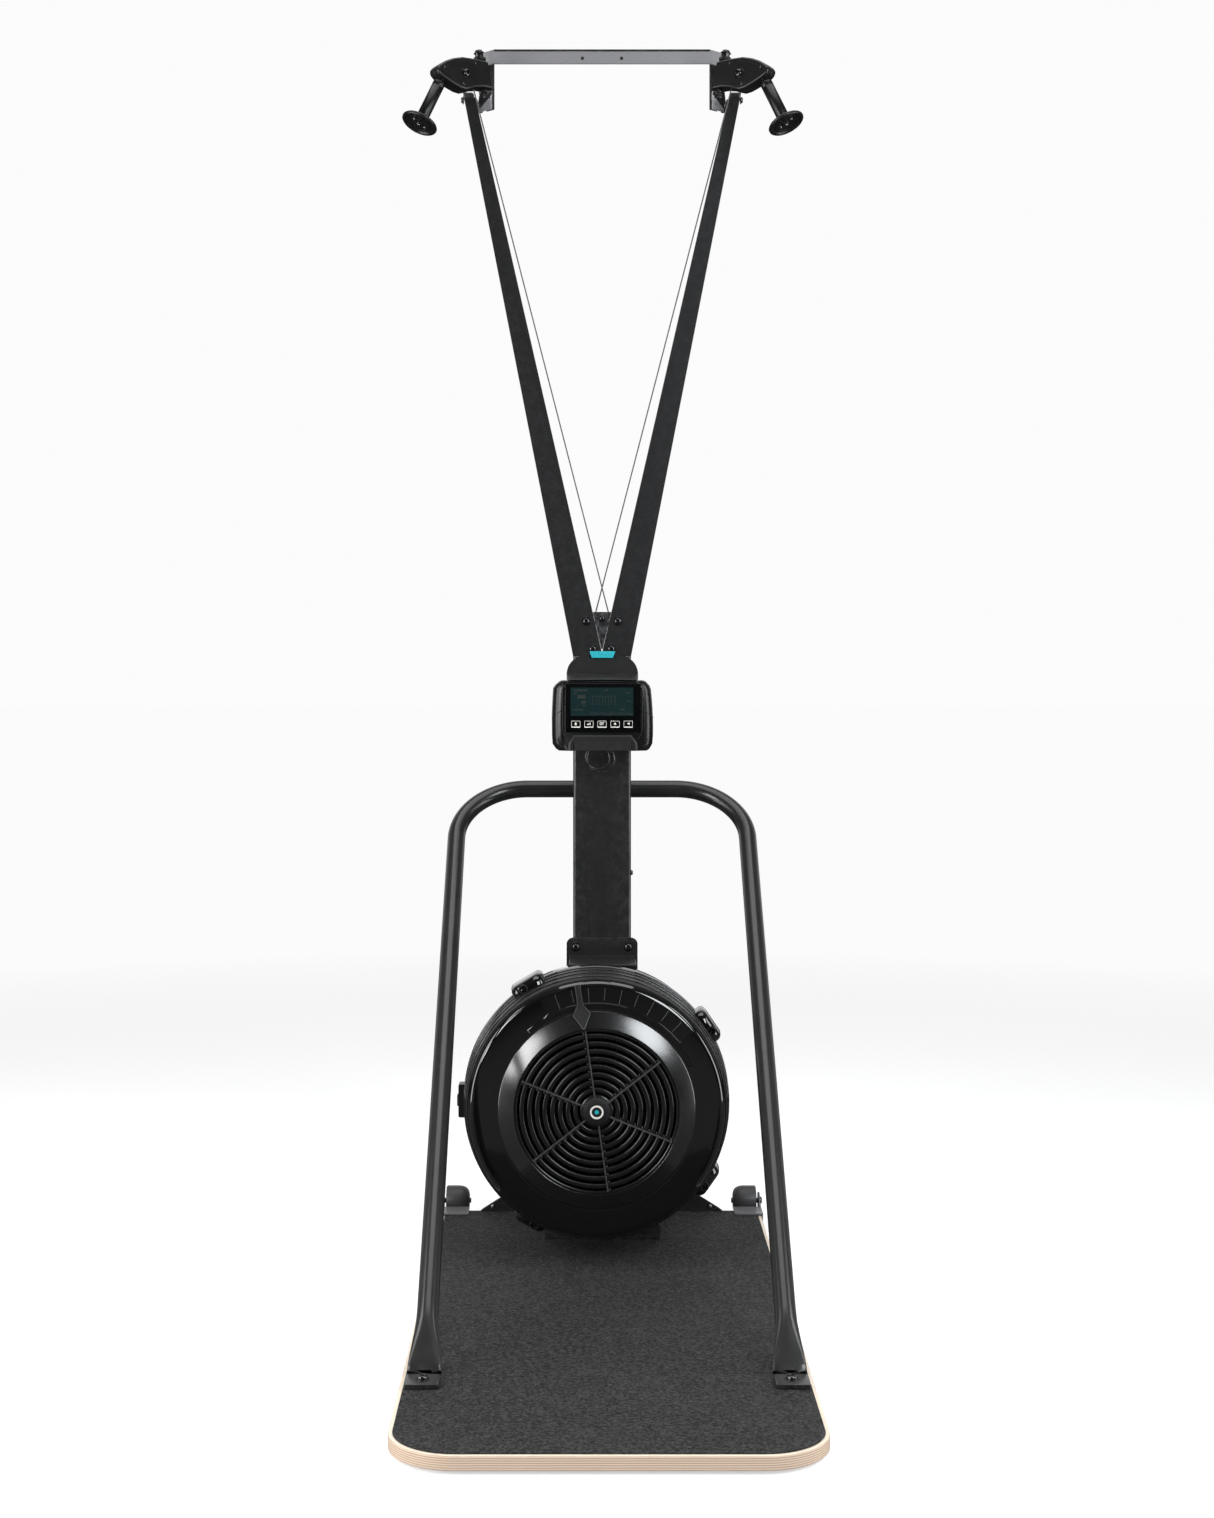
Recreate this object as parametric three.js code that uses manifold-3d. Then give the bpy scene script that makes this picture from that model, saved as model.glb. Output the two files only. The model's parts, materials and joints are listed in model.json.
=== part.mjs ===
// Standing ski trainer on a floor platform, in millimetres: +X right, +Y away from the user, +Z up.
import * as THREE from "three";
import { mergeVertices } from "three/addons/utils/BufferGeometryUtils.js";
import Module from "manifold-3d";

const wasm = await Module();
wasm.setup();

// ---- driving dimensions -------------------------------------------------------------------
const GAP = 0.3; // between pieces that touch
const SIDES = [["left", -1], ["right", 1]];

const BOARD = { half: 300, front: -678, rear: 602, bottom: 6, thick: 20, frontCorner: 95, rearCorner: 20 };
const FEET = { x: 240, front: -560, rear: 545, radius: 22 };
const MAT_INSET = 6;
const MAT_TOP = 28;
const ON_MAT = MAT_TOP + GAP;

const COLUMN = { half: 53, front: 460, back: 536, wall: 3, top: 1076 };
const ARM = { depth: 50, wall: 2.5, top: 2100, outerFoot: 53, outerSlope: 0.1954, innerFoot: 1084,
  innerSlope: 0.2286 };
const GUSSET_TOP = 1158;
const THROAT = { x: 11.5, leftY: 470, rightY: 474.5, radius: 4 };

const TUBE = { radius: 16, wall: 2, half: 266.5, topY: 557, topZ: 828, bend: 128, footY: -370, tongue: 52 };

const PIN = { low: [209.5, 2091], high: [223, 2165], y: 403, radius: 4 };
const HOUSING = { yaw: 40, boltZ: 2116, boltU: 50.6, thick: 28, wall: 3 };
const MOUTH = [290, 336, 2094];
const PULL = [0.371, -0.312, -0.875];
const GRIP = { radius: 11, start: -7.5, length: 91.5, disc: 33, discThick: 8 };
const PULLEY = { groove: 19, flange: 23, width: 12 };
const CORD_RADIUS = 1.25;
const CORD_WRAP = PULLEY.groove + CORD_RADIUS + GAP;
const CROSSBAR = { straight: 199, end: 222, y: 483, thick: 5, bottom: 2167, top: 2193 };

const FAN = { x: -11.5, z: 299, segments: 40, rim: 233, barrel: 226 };
const GRILLE = { front: 190.3, back: 196, hub: 28, rings: 8, first: 31.8, pitch: 13.2, width: 8.7, rim: 137,
  edge: 141 };
const SPOKES = [98, 38, -22, -82, -142, 158];
const CLAMPS = { angles: [120.6, 34.4, -35.5, -119.1], half: 31, front: 262, back: 312, inner: 226.5,
  outer: 247 };
const SENSOR = { angle: 180, half: 17, outer: 245 };
const RECESS = { inner: 183, outer: 212, from: 39, to: 117, floor: 204.2 };
const SHAFT_RADIUS = 7.5;
const DRUM = { radius: 30, flange: 36, width: 22, leftY: 477, rightY: 503 };
const SLOT = { inner: 174, outer: 180, from: 25, to: 131 };
const LEVER_ANGLE = 98.8;
const BLOWER = { blades: 16, inner: 60, outer: 184, front: 232, back: 287, disc: 186 };

const CONSOLE = { half: 91, bottom: 907, top: 1034, front: 361, back: 407, wall: 3 };
const SCREEN = { left: -67, right: 69, bottom: 941, top: 1028, thick: 2 };
const KEY = { count: 5, width: 16.4, height: 12.4, pitch: 23.4, middle: -1, z: 955.5, deep: 3 };
const TILT = { y: 422, z: 960, radius: 10, pin: 4 };
const LEAD_RADIUS = 1.35;
const LEAD_HOLE = { x: 12, z: 925, radius: 2.6 };

const WHEEL = { x: 274, y: 650, z: 34, radius: 28, width: 44, axle: 5 };

// ---- materials ----------------------------------------------------------------------------
const material = (color, roughness, metalness = 0) =>
  new THREE.MeshStandardMaterial({ color, roughness, metalness });
const BLACK_PAINT = material(0x1c1d1f, 0.55, 0.3);
const GLOSS_BLACK = material(0x0b0b0c, 0.15);
const MATTE_BLACK = material(0x191a1b, 0.6);
const BIRCH = material(0xe0c49c, 0.6);
const GRIT = material(0x2e2f30, 0.95);
const RUBBER = material(0x161616, 0.9);
const STEEL = material(0x9a9c9e, 0.35, 0.9);
const GREY_PAINT = material(0x6c6d70, 0.45, 0.4);
const ALUMINIUM = material(0xb8babd, 0.35, 0.9);
const GLASS = material(0x0a1213, 0.05);
const CYAN = material(0x10b9cc, 0.6);
const CORD = material(0xcfcdc8, 0.8);
const KEY_WHITE = material(0x2a2c2e, 0.5);

// ---- solids -------------------------------------------------------------------------------
const at = (x, y, z) => new THREE.Vector3(x, y, z);
const X = at(1, 0, 0);
const Y = at(0, 1, 0);
const Z = at(0, 0, 1);
const radians = THREE.MathUtils.degToRad;

// An indexed closed mesh with shared corners whose faces look outward.
function closed(geometry) {
  geometry.deleteAttribute("normal");
  geometry.deleteAttribute("uv");
  const merged = mergeVertices(geometry, 1e-3);
  const index = merged.index.array;
  const corner = (i) => at(0, 0, 0).fromBufferAttribute(merged.attributes.position, i);
  const kept = [];
  let volume = 0;
  for (let i = 0; i < index.length; i += 3) {
    const [a, b, c] = [index[i], index[i + 1], index[i + 2]];
    if (a === b || b === c || c === a) continue;
    kept.push(a, b, c);
    volume += corner(a).dot(corner(b).cross(corner(c)));
  }
  merged.setIndex(volume < 0 ? kept.reverse() : kept);
  return merged;
}

// Lays a geometry's own X, Y and Z along three directions from an origin.
function place(geometry, origin, ex, ey, ez) {
  return closed(geometry.applyMatrix4(new THREE.Matrix4().makeBasis(ex, ey, ez).setPosition(origin)));
}

function manifoldOf(geometry) {
  const vertProperties = Float32Array.from(geometry.attributes.position.array);
  const triVerts = Uint32Array.from(geometry.index.array);
  return new wasm.Manifold(new wasm.Mesh({ numProp: 3, vertProperties, triVerts }));
}

function geometryOf(manifold) {
  const { vertProperties, triVerts } = manifold.getMesh();
  const geometry = new THREE.BufferGeometry();
  geometry.setAttribute("position", new THREE.BufferAttribute(Float32Array.from(vertProperties), 3));
  geometry.setIndex(Array.from(triVerts));
  return geometry;
}

const combine = (method) => (first, ...rest) =>
  geometryOf(rest.reduce((whole, piece) => whole[method](manifoldOf(piece)), manifoldOf(first)));
const join = combine("add");
const cut = combine("subtract");
const common = combine("intersect");

const box = (x0, x1, y0, y1, z0, z1) => closed(new THREE.BoxGeometry(x1 - x0, y1 - y0, z1 - z0)
  .translate((x0 + x1) / 2, (y0 + y1) / 2, (z0 + z1) / 2));

function rod(from, to, radius, sides = 16) {
  const turn = new THREE.Quaternion().setFromUnitVectors(Y, to.clone().sub(from).normalize());
  const middle = from.clone().add(to).multiplyScalar(0.5);
  const geometry = new THREE.CylinderGeometry(radius, radius, from.distanceTo(to), sides);
  return closed(geometry.applyQuaternion(turn).translate(middle.x, middle.y, middle.z));
}

// Turns a profile of [radius, distance along the axis] about an axis.
function turned(profile, segments, origin, axis) {
  const side = Math.abs(axis.z) < 0.9 ? Z : X;
  const ex = side.clone().cross(axis).normalize();
  const ez = ex.clone().cross(axis);
  const points = [...profile, profile[0]].map(([r, t]) => new THREE.Vector2(r, t));
  return place(new THREE.LatheGeometry(points, segments), origin, ex, axis, ez);
}

const ring = (inner, outer, y0, y1, segments = FAN.segments) =>
  turned([[inner, y0], [outer, y0], [outer, y1], [inner, y1]], segments, at(0, 0, 0), Y);

// Thickens an outline of [a, b] points, or a Shape, from start to end along a third direction.
function prism(outline, start, end, ea, eb, along, origin = at(0, 0, 0)) {
  const shape = outline instanceof THREE.Shape
    ? outline : new THREE.Shape(outline.map(([a, b]) => new THREE.Vector2(a, b)));
  const options = { depth: end - start, bevelEnabled: false, curveSegments: 8 };
  const geometry = new THREE.ExtrudeGeometry(shape, options);
  return place(geometry.translate(0, 0, start), origin, ea, eb, along);
}
const flat = (outline, z0, z1) => prism(outline, z0, z1, X, Y, Z);
const upright = (outline, y0, y1) => prism(outline, y0, y1, X, Z, Y);

function roundedRectangle(a0, a1, b0, b1, radii) {
  const [r00, r10, r11, r01] = radii;
  const shape = new THREE.Shape();
  shape.absarc(a0 + r00, b0 + r00, r00, Math.PI, 1.5 * Math.PI);
  shape.absarc(a1 - r10, b0 + r10, r10, 1.5 * Math.PI, 2 * Math.PI);
  shape.absarc(a1 - r11, b1 - r11, r11, 0, 0.5 * Math.PI);
  shape.absarc(a0 + r01, b1 - r01, r01, 0.5 * Math.PI, Math.PI);
  return shape;
}

// Skins rings of equal size, one for each station, into a tube with flat ends.
function sweep(stations, sides) {
  const corners = [];
  for (const { centre, along, up, wide, thick } of stations) {
    const across = along.clone().cross(up).normalize();
    for (let i = 0; i < sides; i++) {
      const angle = (2 * Math.PI * (i + 0.5)) / sides;
      corners.push(centre.clone().addScaledVector(across, wide * Math.cos(angle))
        .addScaledVector(up, thick * Math.sin(angle)));
    }
  }
  const index = [];
  for (let s = 0; s + 1 < stations.length; s++) {
    for (let i = 0; i < sides; i++) {
      const [a, b] = [s * sides + i, s * sides + (i + 1) % sides];
      index.push(a, b, b + sides, a, b + sides, a + sides);
    }
  }
  const last = (stations.length - 1) * sides;
  for (let i = 1; i + 1 < sides; i++) index.push(0, i + 1, i, last, last + i, last + i + 1);
  const geometry = new THREE.BufferGeometry().setFromPoints(corners);
  geometry.setIndex(index);
  return closed(geometry);
}

// A slack cord of round section along a smooth curve through the points.
function slackCord(points, radius, steps) {
  const extrudePath = new THREE.CatmullRomCurve3(points, false, "centripetal");
  const section = new THREE.Shape().absarc(0, 0, radius, 0, 2 * Math.PI);
  return closed(new THREE.ExtrudeGeometry(section, { extrudePath, steps, curveSegments: 4 }));
}

// A taut cord of round section, straight from each point to the next.
function tautCord(points, radius) {
  return sweep(points.map((centre, i) => {
    const [before, after] = [points[Math.max(i - 1, 0)], points[Math.min(i + 1, points.length - 1)]];
    const along = after.clone().sub(before).normalize();
    const up = Y.clone().addScaledVector(along, -along.y).normalize();
    return { centre, along, up, wide: radius, thick: radius };
  }), 8);
}

const part = new THREE.Group();

// Adds one named mesh, with its geometry around its own middle, to a group.
function add(group, name, geometry, finish) {
  const shown = geometry.toNonIndexed();
  shown.computeBoundingBox();
  const middle = shown.boundingBox.getCenter(at(0, 0, 0));
  shown.translate(-middle.x, -middle.y, -middle.z);
  shown.computeVertexNormals();
  const mesh = new THREE.Mesh(shown, finish);
  mesh.name = name;
  mesh.position.copy(middle);
  group.add(mesh);
}

// ---- platform -----------------------------------------------------------------------------
function boardOutline(inset) {
  const [front, rear] = [BOARD.frontCorner - inset, BOARD.rearCorner - inset];
  const half = BOARD.half - inset;
  return roundedRectangle(-half, half, BOARD.front + inset, BOARD.rear - inset, [front, front, rear, rear]);
}

function platform() {
  const group = new THREE.Group();
  const boardTop = BOARD.bottom + BOARD.thick;
  add(group, "plywood_board", flat(boardOutline(0), BOARD.bottom, boardTop), BIRCH);
  add(group, "grip_mat", flat(boardOutline(MAT_INSET), boardTop + GAP, MAT_TOP), GRIT);
  for (const [side, s] of SIDES) {
    for (const end of ["front", "rear"]) {
      const under = (z) => at(s * FEET.x, FEET[end], z);
      add(group, `rubber_foot_${end}_${side}`, rod(under(0), under(BOARD.bottom - GAP), FEET.radius), RUBBER);
    }
    const flange = [[566, 8], [640, 8], [662, 20], [667, 34], [662, 46], [650, 50], [630, 44], [613, 31.3],
      [566, 31.3]];
    const outside = BOARD.half + GAP;
    const bracket = join(
      box(...[s * 250, s * (outside + 3)].sort((a, b) => a - b), 560, 612, ON_MAT, ON_MAT + 3),
      prism(flange, s * outside, s * (outside + 3), Y, Z, X),
      rod(at(s * (outside + 1), WHEEL.y, WHEEL.z), at(s * 249, WHEEL.y, WHEEL.z), WHEEL.axle));
    add(group, `wheel_bracket_${side}`, bracket, BLACK_PAINT);
    const halfWide = WHEEL.width / 2;
    const { radius } = WHEEL;
    const bore = WHEEL.axle + 0.4;
    const tread = [[bore, -halfWide + 2], [14, -halfWide], [22, -halfWide + 3], [26.5, -halfWide + 9],
      [radius, -halfWide + 16], [radius, halfWide - 1.5], [26.5, halfWide], [bore, halfWide]];
    const wheel = turned(tread, 28, at(s * WHEEL.x, WHEEL.y, WHEEL.z), at(s, 0, 0));
    add(group, `transport_wheel_${side}`, wheel, RUBBER);
  }
  return group;
}

// ---- mast ---------------------------------------------------------------------------------
const armInner = (z) => ARM.innerSlope * (z - ARM.innerFoot);
const armOuter = (z) => ARM.outerFoot + ARM.outerSlope * (z - COLUMN.top);

// The drive cord runs from the pulley, through the gusset on the other side, to its drum.
function driveRoute(s) {
  const { onPulley } = headFrame(s);
  const pulley = onPulley(Math.PI).lerp(onPulley(Math.PI - 0.1), -0.5);
  const throat = at(-s * THROAT.x, s < 0 ? THROAT.leftY : THROAT.rightY, GUSSET_TOP);
  const reach = DRUM.radius + CORD_RADIUS + GAP;
  const drum = at(FAN.x - s * reach, s < 0 ? DRUM.leftY : DRUM.rightY, FAN.z);
  return [pulley, throat, drum];
}

// The holes that let the two drive cords through the arms and the gusset.
function cordPassages() {
  return SIDES.map(([, s]) => {
    const [pulley, throat, drum] = driveRoute(s);
    const above = throat.clone().lerp(pulley, 0.03);
    const below = throat.clone().lerp(drum, 0.12);
    const start = throat.clone().lerp(above, 0.05);
    return join(rod(above, throat, THROAT.radius, 8), rod(start, below, THROAT.radius, 8));
  });
}

function mast() {
  const group = new THREE.Group();
  const { half, front, back, wall } = COLUMN;
  const foot = ON_MAT + 3;
  const outside = roundedRectangle(-half, half, front, back, [6, 6, 6, 6]);
  const inside = roundedRectangle(-half + wall, half - wall, front + wall, back - wall, [3, 3, 3, 3]);
  const hole = ({ x, z }, radius, sides) => rod(at(x, front - 9, z), at(x, front + 9, z), radius, sides);
  const column = cut(flat(outside, foot + GAP, COLUMN.top), flat(inside, 0, COLUMN.top + 9),
    hole(FAN, 12, 16), hole(LEAD_HOLE, LEAD_HOLE.radius, 8));
  add(group, "mast_column", column, BLACK_PAINT);

  const footBracket = join(
    box(-104, 104, 388, 584, ON_MAT, foot),
    upright(roundedRectangle(-104, 104, ON_MAT, 63, [0.5, 0.5, 14, 14]), 388, 391));
  add(group, "mast_foot_bracket", footBracket, BLACK_PAINT);
  const ribs = [-1, 1].map((s) => box(s * 42 - 2, s * 42 + 2, back + GAP, 589, 60, 128));
  const brace = [[-230, ON_MAT], [230, ON_MAT], [222, 35], [58, 138], [-58, 138], [-222, 35]];
  add(group, "rear_brace_plate", join(upright(brace, 588, 592), ...ribs), BLACK_PAINT);

  const passages = cordPassages();
  for (const [side, s] of SIDES) {
    const [low, high] = [COLUMN.top + GAP, ARM.top];
    const outline = [[armOuter(low), low], [armOuter(high), high], [armInner(high), high],
      [armInner(low + 12) + GAP, low + 12], [GAP / 2 + 0.1, low + 8], [GAP / 2 + 0.1, low]];
    const wallAcross = ARM.wall * 1.03;
    const hollow = [[armOuter(low - 9) - wallAcross, low - 9], [armOuter(high) - wallAcross, high - ARM.wall],
      [armInner(high) + wallAcross, high - ARM.wall], [armInner(low + 14) + wallAcross, low + 14],
      [wallAcross, low + 8], [wallAcross, low - 9]];
    const mirrored = (points) => points.map(([x, z]) => [s * x, z]);
    const arm = cut(
      upright(mirrored(outline), front, front + ARM.depth),
      upright(mirrored(hollow), front + ARM.wall, front + ARM.depth - ARM.wall), ...passages);
    add(group, `arm_${side}`, arm, BLACK_PAINT);
  }
  const reach = armInner(GUSSET_TOP) - GAP;
  const wedge = [[-1, 1090], [1, 1090], [reach, GUSSET_TOP], [-reach, GUSSET_TOP]];
  add(group, "arm_gusset", cut(upright(wedge, front, front + ARM.depth), ...passages), BLACK_PAINT);

  const { straight, end, y, thick } = CROSSBAR;
  const t = thick / 2;
  const miter = t * Math.tan(Math.PI / 8);
  const diagonal = t * Math.SQRT1_2;
  const run = end - straight;
  const bar = [[-straight - miter, y - t], [straight + miter, y - t], [end + diagonal, y + run - diagonal],
    [end - diagonal, y + run + diagonal], [straight - miter, y + t], [-straight + miter, y + t],
    [-end + diagonal, y + run + diagonal], [-end - diagonal, y + run - diagonal]];
  const holes = [-36, 36].map((x) => rod(at(x, y - 9, 2177), at(x, y + 9, 2177), 3, 12));
  add(group, "top_crossbar", cut(flat(bar, CROSSBAR.bottom, CROSSBAR.top), ...holes), GREY_PAINT);
  return group;
}

// ---- stand tube ---------------------------------------------------------------------------
function standTube() {
  const group = new THREE.Group();
  const { radius, half, topY, topZ, bend, footY } = TUBE;
  const footZ = ON_MAT + 3.5;
  const down = at(0, footY - topY, footZ - topZ);
  const length = down.length();
  down.normalize();
  const up = at(0, -down.z, down.y);
  const spot = (x, s) => at(x, topY, topZ).addScaledVector(down, s);
  const round = (centre, along, size) => ({ centre, along, up, wide: size, thick: size });
  // Half of the tube, from the middle of the top to the foot on the +X side.
  const halfTube = (size, end) => {
    const stations = [];
    for (let i = 0; i <= 8; i++) {
      const angle = (i / 8) * Math.PI / 2;
      const centre = spot(half - bend + bend * Math.sin(angle), bend - bend * Math.cos(angle));
      const along = at(Math.cos(angle), 0, 0).addScaledVector(down, Math.sin(angle));
      stations.push(round(centre, along, size));
    }
    stations.push(round(spot(half, end), down.clone(), size));
    return stations;
  };
  const mirror = ({ centre, along, up: n, wide, thick }) => ({
    centre: at(-centre.x, centre.y, centre.z), along: at(along.x, -along.y, -along.z), up: n, wide, thick });
  const both = (stations) => [...stations.map(mirror).reverse(), ...stations];
  const level = at(0, -1, 0);
  const outside = [...halfTube(radius, length - 75),
    { centre: spot(half, length - 38), along: down, up, wide: 21, thick: 12 },
    { centre: spot(half, length - 8), along: down, up, wide: 25, thick: 5 },
    { centre: at(half, footY - 8, footZ), along: level, up: Z, wide: 25, thick: 3.6 },
    { centre: at(half, footY - TUBE.tongue, footZ), along: level, up: Z, wide: 25, thick: 3.6 }];
  const drains = [-1, 1].map((s) => rod(spot(s * half, length - 100), spot(s * half, length - 100)
    .addScaledVector(up, 24), 4, 8));
  const bore = sweep(both(halfTube(radius - TUBE.wall, length - 90)), 16);
  const tube = cut(sweep(both(outside), 16), bore, ...drains);
  const mat = box(-400, 400, -700, 700, 0, ON_MAT);
  add(group, "stand_tube", cut(tube, mat), BLACK_PAINT);
  const clamp = cut(box(-34, 34, COLUMN.back + GAP, 582, topZ - 25, topZ + 25),
    rod(at(-60, topY, topZ), at(60, topY, topZ), radius + GAP, 16));
  add(group, "stand_clamp", clamp, BLACK_PAINT);
  return group;
}

// ---- pulley heads and handles -------------------------------------------------------------
// The frame of one head: u runs from the swivel pin to the tip, w along the pin, n across the plates.
function headFrame(s) {
  const lean = (PIN.high[0] - PIN.low[0]) / (PIN.high[1] - PIN.low[1]);
  const pinAt = (z) => at(s * (PIN.low[0] + lean * (z - PIN.low[1])), PIN.y, z);
  const yaw = radians(HOUSING.yaw);
  const u = at(s * Math.cos(yaw), -Math.sin(yaw), 0);
  const w = at(s * lean, 0, 1);
  const n = u.clone().cross(w).normalize();
  const origin = pinAt(HOUSING.boltZ);
  const bolt = (across) => origin.clone().addScaledVector(u, HOUSING.boltU).addScaledVector(n, across);
  const rise = n.clone().cross(u);
  const onPulley = (angle) => bolt(0).addScaledVector(u, CORD_WRAP * Math.cos(angle))
    .addScaledVector(rise, CORD_WRAP * Math.sin(angle));
  return { pinAt, u, w, n, rise, origin, bolt, onPulley };
}

function housing(s) {
  const { pinAt, u, w, n, origin, bolt } = headFrame(s);
  const shell = (inset) => [[-8 + inset, 31 - inset], [0, 32 - inset], [50, 30.5 - inset],
    [71.5, 24.4 - inset], [97 - inset / 2, 15 - inset], [111 - inset, 6.8 - inset], [116 - inset, 0],
    [113 - inset, -8.2 + inset], [84, -15 + inset], [64, -28.7 + inset * 1.3], [55, -30 + inset],
    [32, -22 + inset], [13, -18.3 + inset], [-7.6 + inset, -18 + inset]];
  const half = HOUSING.thick / 2;
  const outside = prism(shell(0), -half, half, u, w, n, origin);
  const inside = prism(shell(HOUSING.wall), HOUSING.wall - half, half - HOUSING.wall, u, w, n, origin);
  const mouth = at(s * MOUTH[0], MOUTH[1], MOUTH[2]);
  const pull = at(s * PULL[0], PULL[1], PULL[2]).normalize();
  const along = (t) => mouth.clone().addScaledVector(pull, t);
  const throat = rod(along(-30), along(20), 8, 12);
  const [pulley, gusset] = driveRoute(s);
  const entry = rod(pulley.clone().lerp(gusset, -0.004), pulley.clone().lerp(gusset, 0.05), 6, 12);
  const barrel = rod(pinAt(HOUSING.boltZ - 16), pinAt(HOUSING.boltZ + 35), 9, 20);
  const bore = rod(pinAt(HOUSING.boltZ - 30), pinAt(HOUSING.boltZ + 50), PIN.radius + GAP, 16);
  const axle = rod(bolt(-20), bolt(20), PIN.radius + GAP, 16);
  return cut(join(cut(outside, inside, throat, entry), barrel), bore, axle);
}

// The plate behind a head, with a lug under and over its barrel.
function topBracket(s) {
  const { pinAt } = headFrame(s);
  const lug = (z0, z1, rearReach) => {
    const x = s * pinAt((z0 + z1) / 2).x;
    const shape = new THREE.Shape();
    shape.moveTo(s * 201, 491);
    shape.absarc(s * x, PIN.y, 11, s > 0 ? Math.PI : 0, s > 0 ? 2 * Math.PI : Math.PI, s < 0);
    shape.lineTo(s * rearReach, 468);
    shape.lineTo(s * 226, 516);
    return flat(shape, z0, z1);
  };
  const back = flat([[s * 198.2, 491.8], [s * 201, 489], [s * 228, 516], [s * 225.2, 518.8]], 2085, 2190);
  const inner = (z) => armInner(z) - GAP;
  const flange = upright([[s * (inner(2086) - 3), 2086], [s * inner(2086), 2086], [s * inner(2099), 2099],
    [s * (inner(2099) - 3), 2099]], 470, 514);
  const bore = rod(pinAt(2070), pinAt(2190), PIN.radius + GAP, 16);
  const notch = rod(at(s * 217, 480, 2086), at(s * 217, 530, 2086), 4, 12);
  return cut(join(back, flange, lug(2092, 2095, 227), lug(2153, 2156.6, 232)), bore, notch);
}

function head(side, s) {
  const group = new THREE.Group();
  const { pinAt, u, n, rise, bolt, onPulley } = headFrame(s);
  add(group, `top_bracket_${side}`, topBracket(s), BLACK_PAINT);
  const pin = join(rod(pinAt(2086), pinAt(2163), PIN.radius), rod(pinAt(2084), pinAt(2090.2), 7.5, 6),
    rod(pinAt(2158.4), pinAt(2164.5), 7.5, 6));
  add(group, `swivel_pin_${side}`, pin, STEEL);
  add(group, `pulley_housing_${side}`, housing(s), MATTE_BLACK);

  const { groove, flange, width } = PULLEY;
  const profile = [[PIN.radius + GAP, -width / 2], [flange, -width / 2], [flange, -3.4], [groove, -1.4],
    [groove, 1.4], [flange, 3.4], [flange, width / 2], [PIN.radius + GAP, width / 2]];
  add(group, `top_pulley_${side}`, turned(profile, 28, bolt(0), n), ALUMINIUM);
  const out = HOUSING.thick / 2 + GAP;
  const axle = join(rod(bolt(-out - 4), bolt(out + 4), PIN.radius), rod(bolt(-out - 5), bolt(-out), 7.5, 6),
    rod(bolt(out), bolt(out + 5), 7.5, 6));
  add(group, `pulley_axle_${side}`, axle, STEEL);

  const mouth = at(s * MOUTH[0], MOUTH[1], MOUTH[2]);
  const pull = at(s * PULL[0], PULL[1], PULL[2]).normalize();
  const along = (t) => mouth.clone().addScaledVector(pull, t);
  const end = GRIP.start + GRIP.length;
  add(group, `handle_grip_${side}`, rod(along(GRIP.start), along(end), GRIP.radius, 20), RUBBER);
  const disc = [[0, 0], [GRIP.disc - 3, 0], [GRIP.disc, 2.5], [GRIP.disc, 6], [GRIP.disc - 2, GRIP.discThick],
    [25, GRIP.discThick], [23, 4.5], [0, 4.5]];
  add(group, `handle_flange_${side}`, turned(disc, 28, along(end + GAP), pull), MATTE_BLACK);

  // The handle's cord starts where the drive cord meets the pulley and leaves it on a tangent to the grip.
  const grip = along(GRIP.start - 2 * GAP);
  const aim = grip.clone().sub(bolt(0));
  const leave = Math.atan2(aim.dot(rise), aim.dot(u)) + Math.acos(CORD_WRAP / aim.length());
  const wrap = Array.from({ length: 10 }, (_, i) => onPulley(Math.PI + (i / 9) * (leave - Math.PI)));
  const stretch = [0.1, 0.5].map((t) => wrap[9].clone().lerp(grip, t));
  add(group, `handle_cord_${side}`, slackCord([...wrap, ...stretch, grip], CORD_RADIUS, 18), CORD);
  add(group, `drive_cord_${side}`, tautCord(driveRoute(s), CORD_RADIUS), CORD);
  return group;
}

// ---- fan ----------------------------------------------------------------------------------
// The front face of the fan cover as [radius, y], from the rim to the grille.
const COVER_FACE = [[214, 203], [168, 203], [163, 199.5], [155, 194.5], [147, 191], [GRILLE.edge + GAP, 190]];

const outwardAt = (angle) => at(Math.cos(radians(angle)), 0, Math.sin(radians(angle)));

function sector(inner, outer, from, to, y0, y1) {
  const shape = new THREE.Shape();
  shape.absarc(0, 0, outer, radians(from), radians(to));
  shape.absarc(0, 0, inner, radians(to), radians(from), true);
  return upright(shape, y0, y1);
}

function fanCover() {
  const back = [[GRILLE.edge + GAP, 195], [150, 197.5], [158, 201.5], [165, 207], [211, 207], [217.5, 212],
    [222, 224], [225.5, 262], [229, 306], [229, 312.7]];
  const front = [[FAN.rim, 312.7], [FAN.rim, 306], [229.5, 262], [226, 222], [221, 209]];
  const shell = turned([...front, ...COVER_FACE, ...back], FAN.segments, at(0, 0, 0), Y);
  const block = (angle, half, outer) => {
    const outward = outwardAt(angle);
    const outline = [[-half, CLAMPS.inner], [half, CLAMPS.inner], [half - 7, outer], [-half + 7, outer]];
    return prism(outline, CLAMPS.front, CLAMPS.back, outward.clone().cross(Y), outward, Y);
  };
  const clamps = CLAMPS.angles.map((angle) => block(angle, CLAMPS.half, CLAMPS.outer));
  const sensor = block(SENSOR.angle, SENSOR.half, SENSOR.outer);
  return cut(join(shell, ...clamps, sensor), sector(SLOT.inner, SLOT.outer, SLOT.from, SLOT.to, 195, 215),
    sector(RECESS.inner, RECESS.outer, RECESS.from, RECESS.to, 195, RECESS.floor));
}

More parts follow.
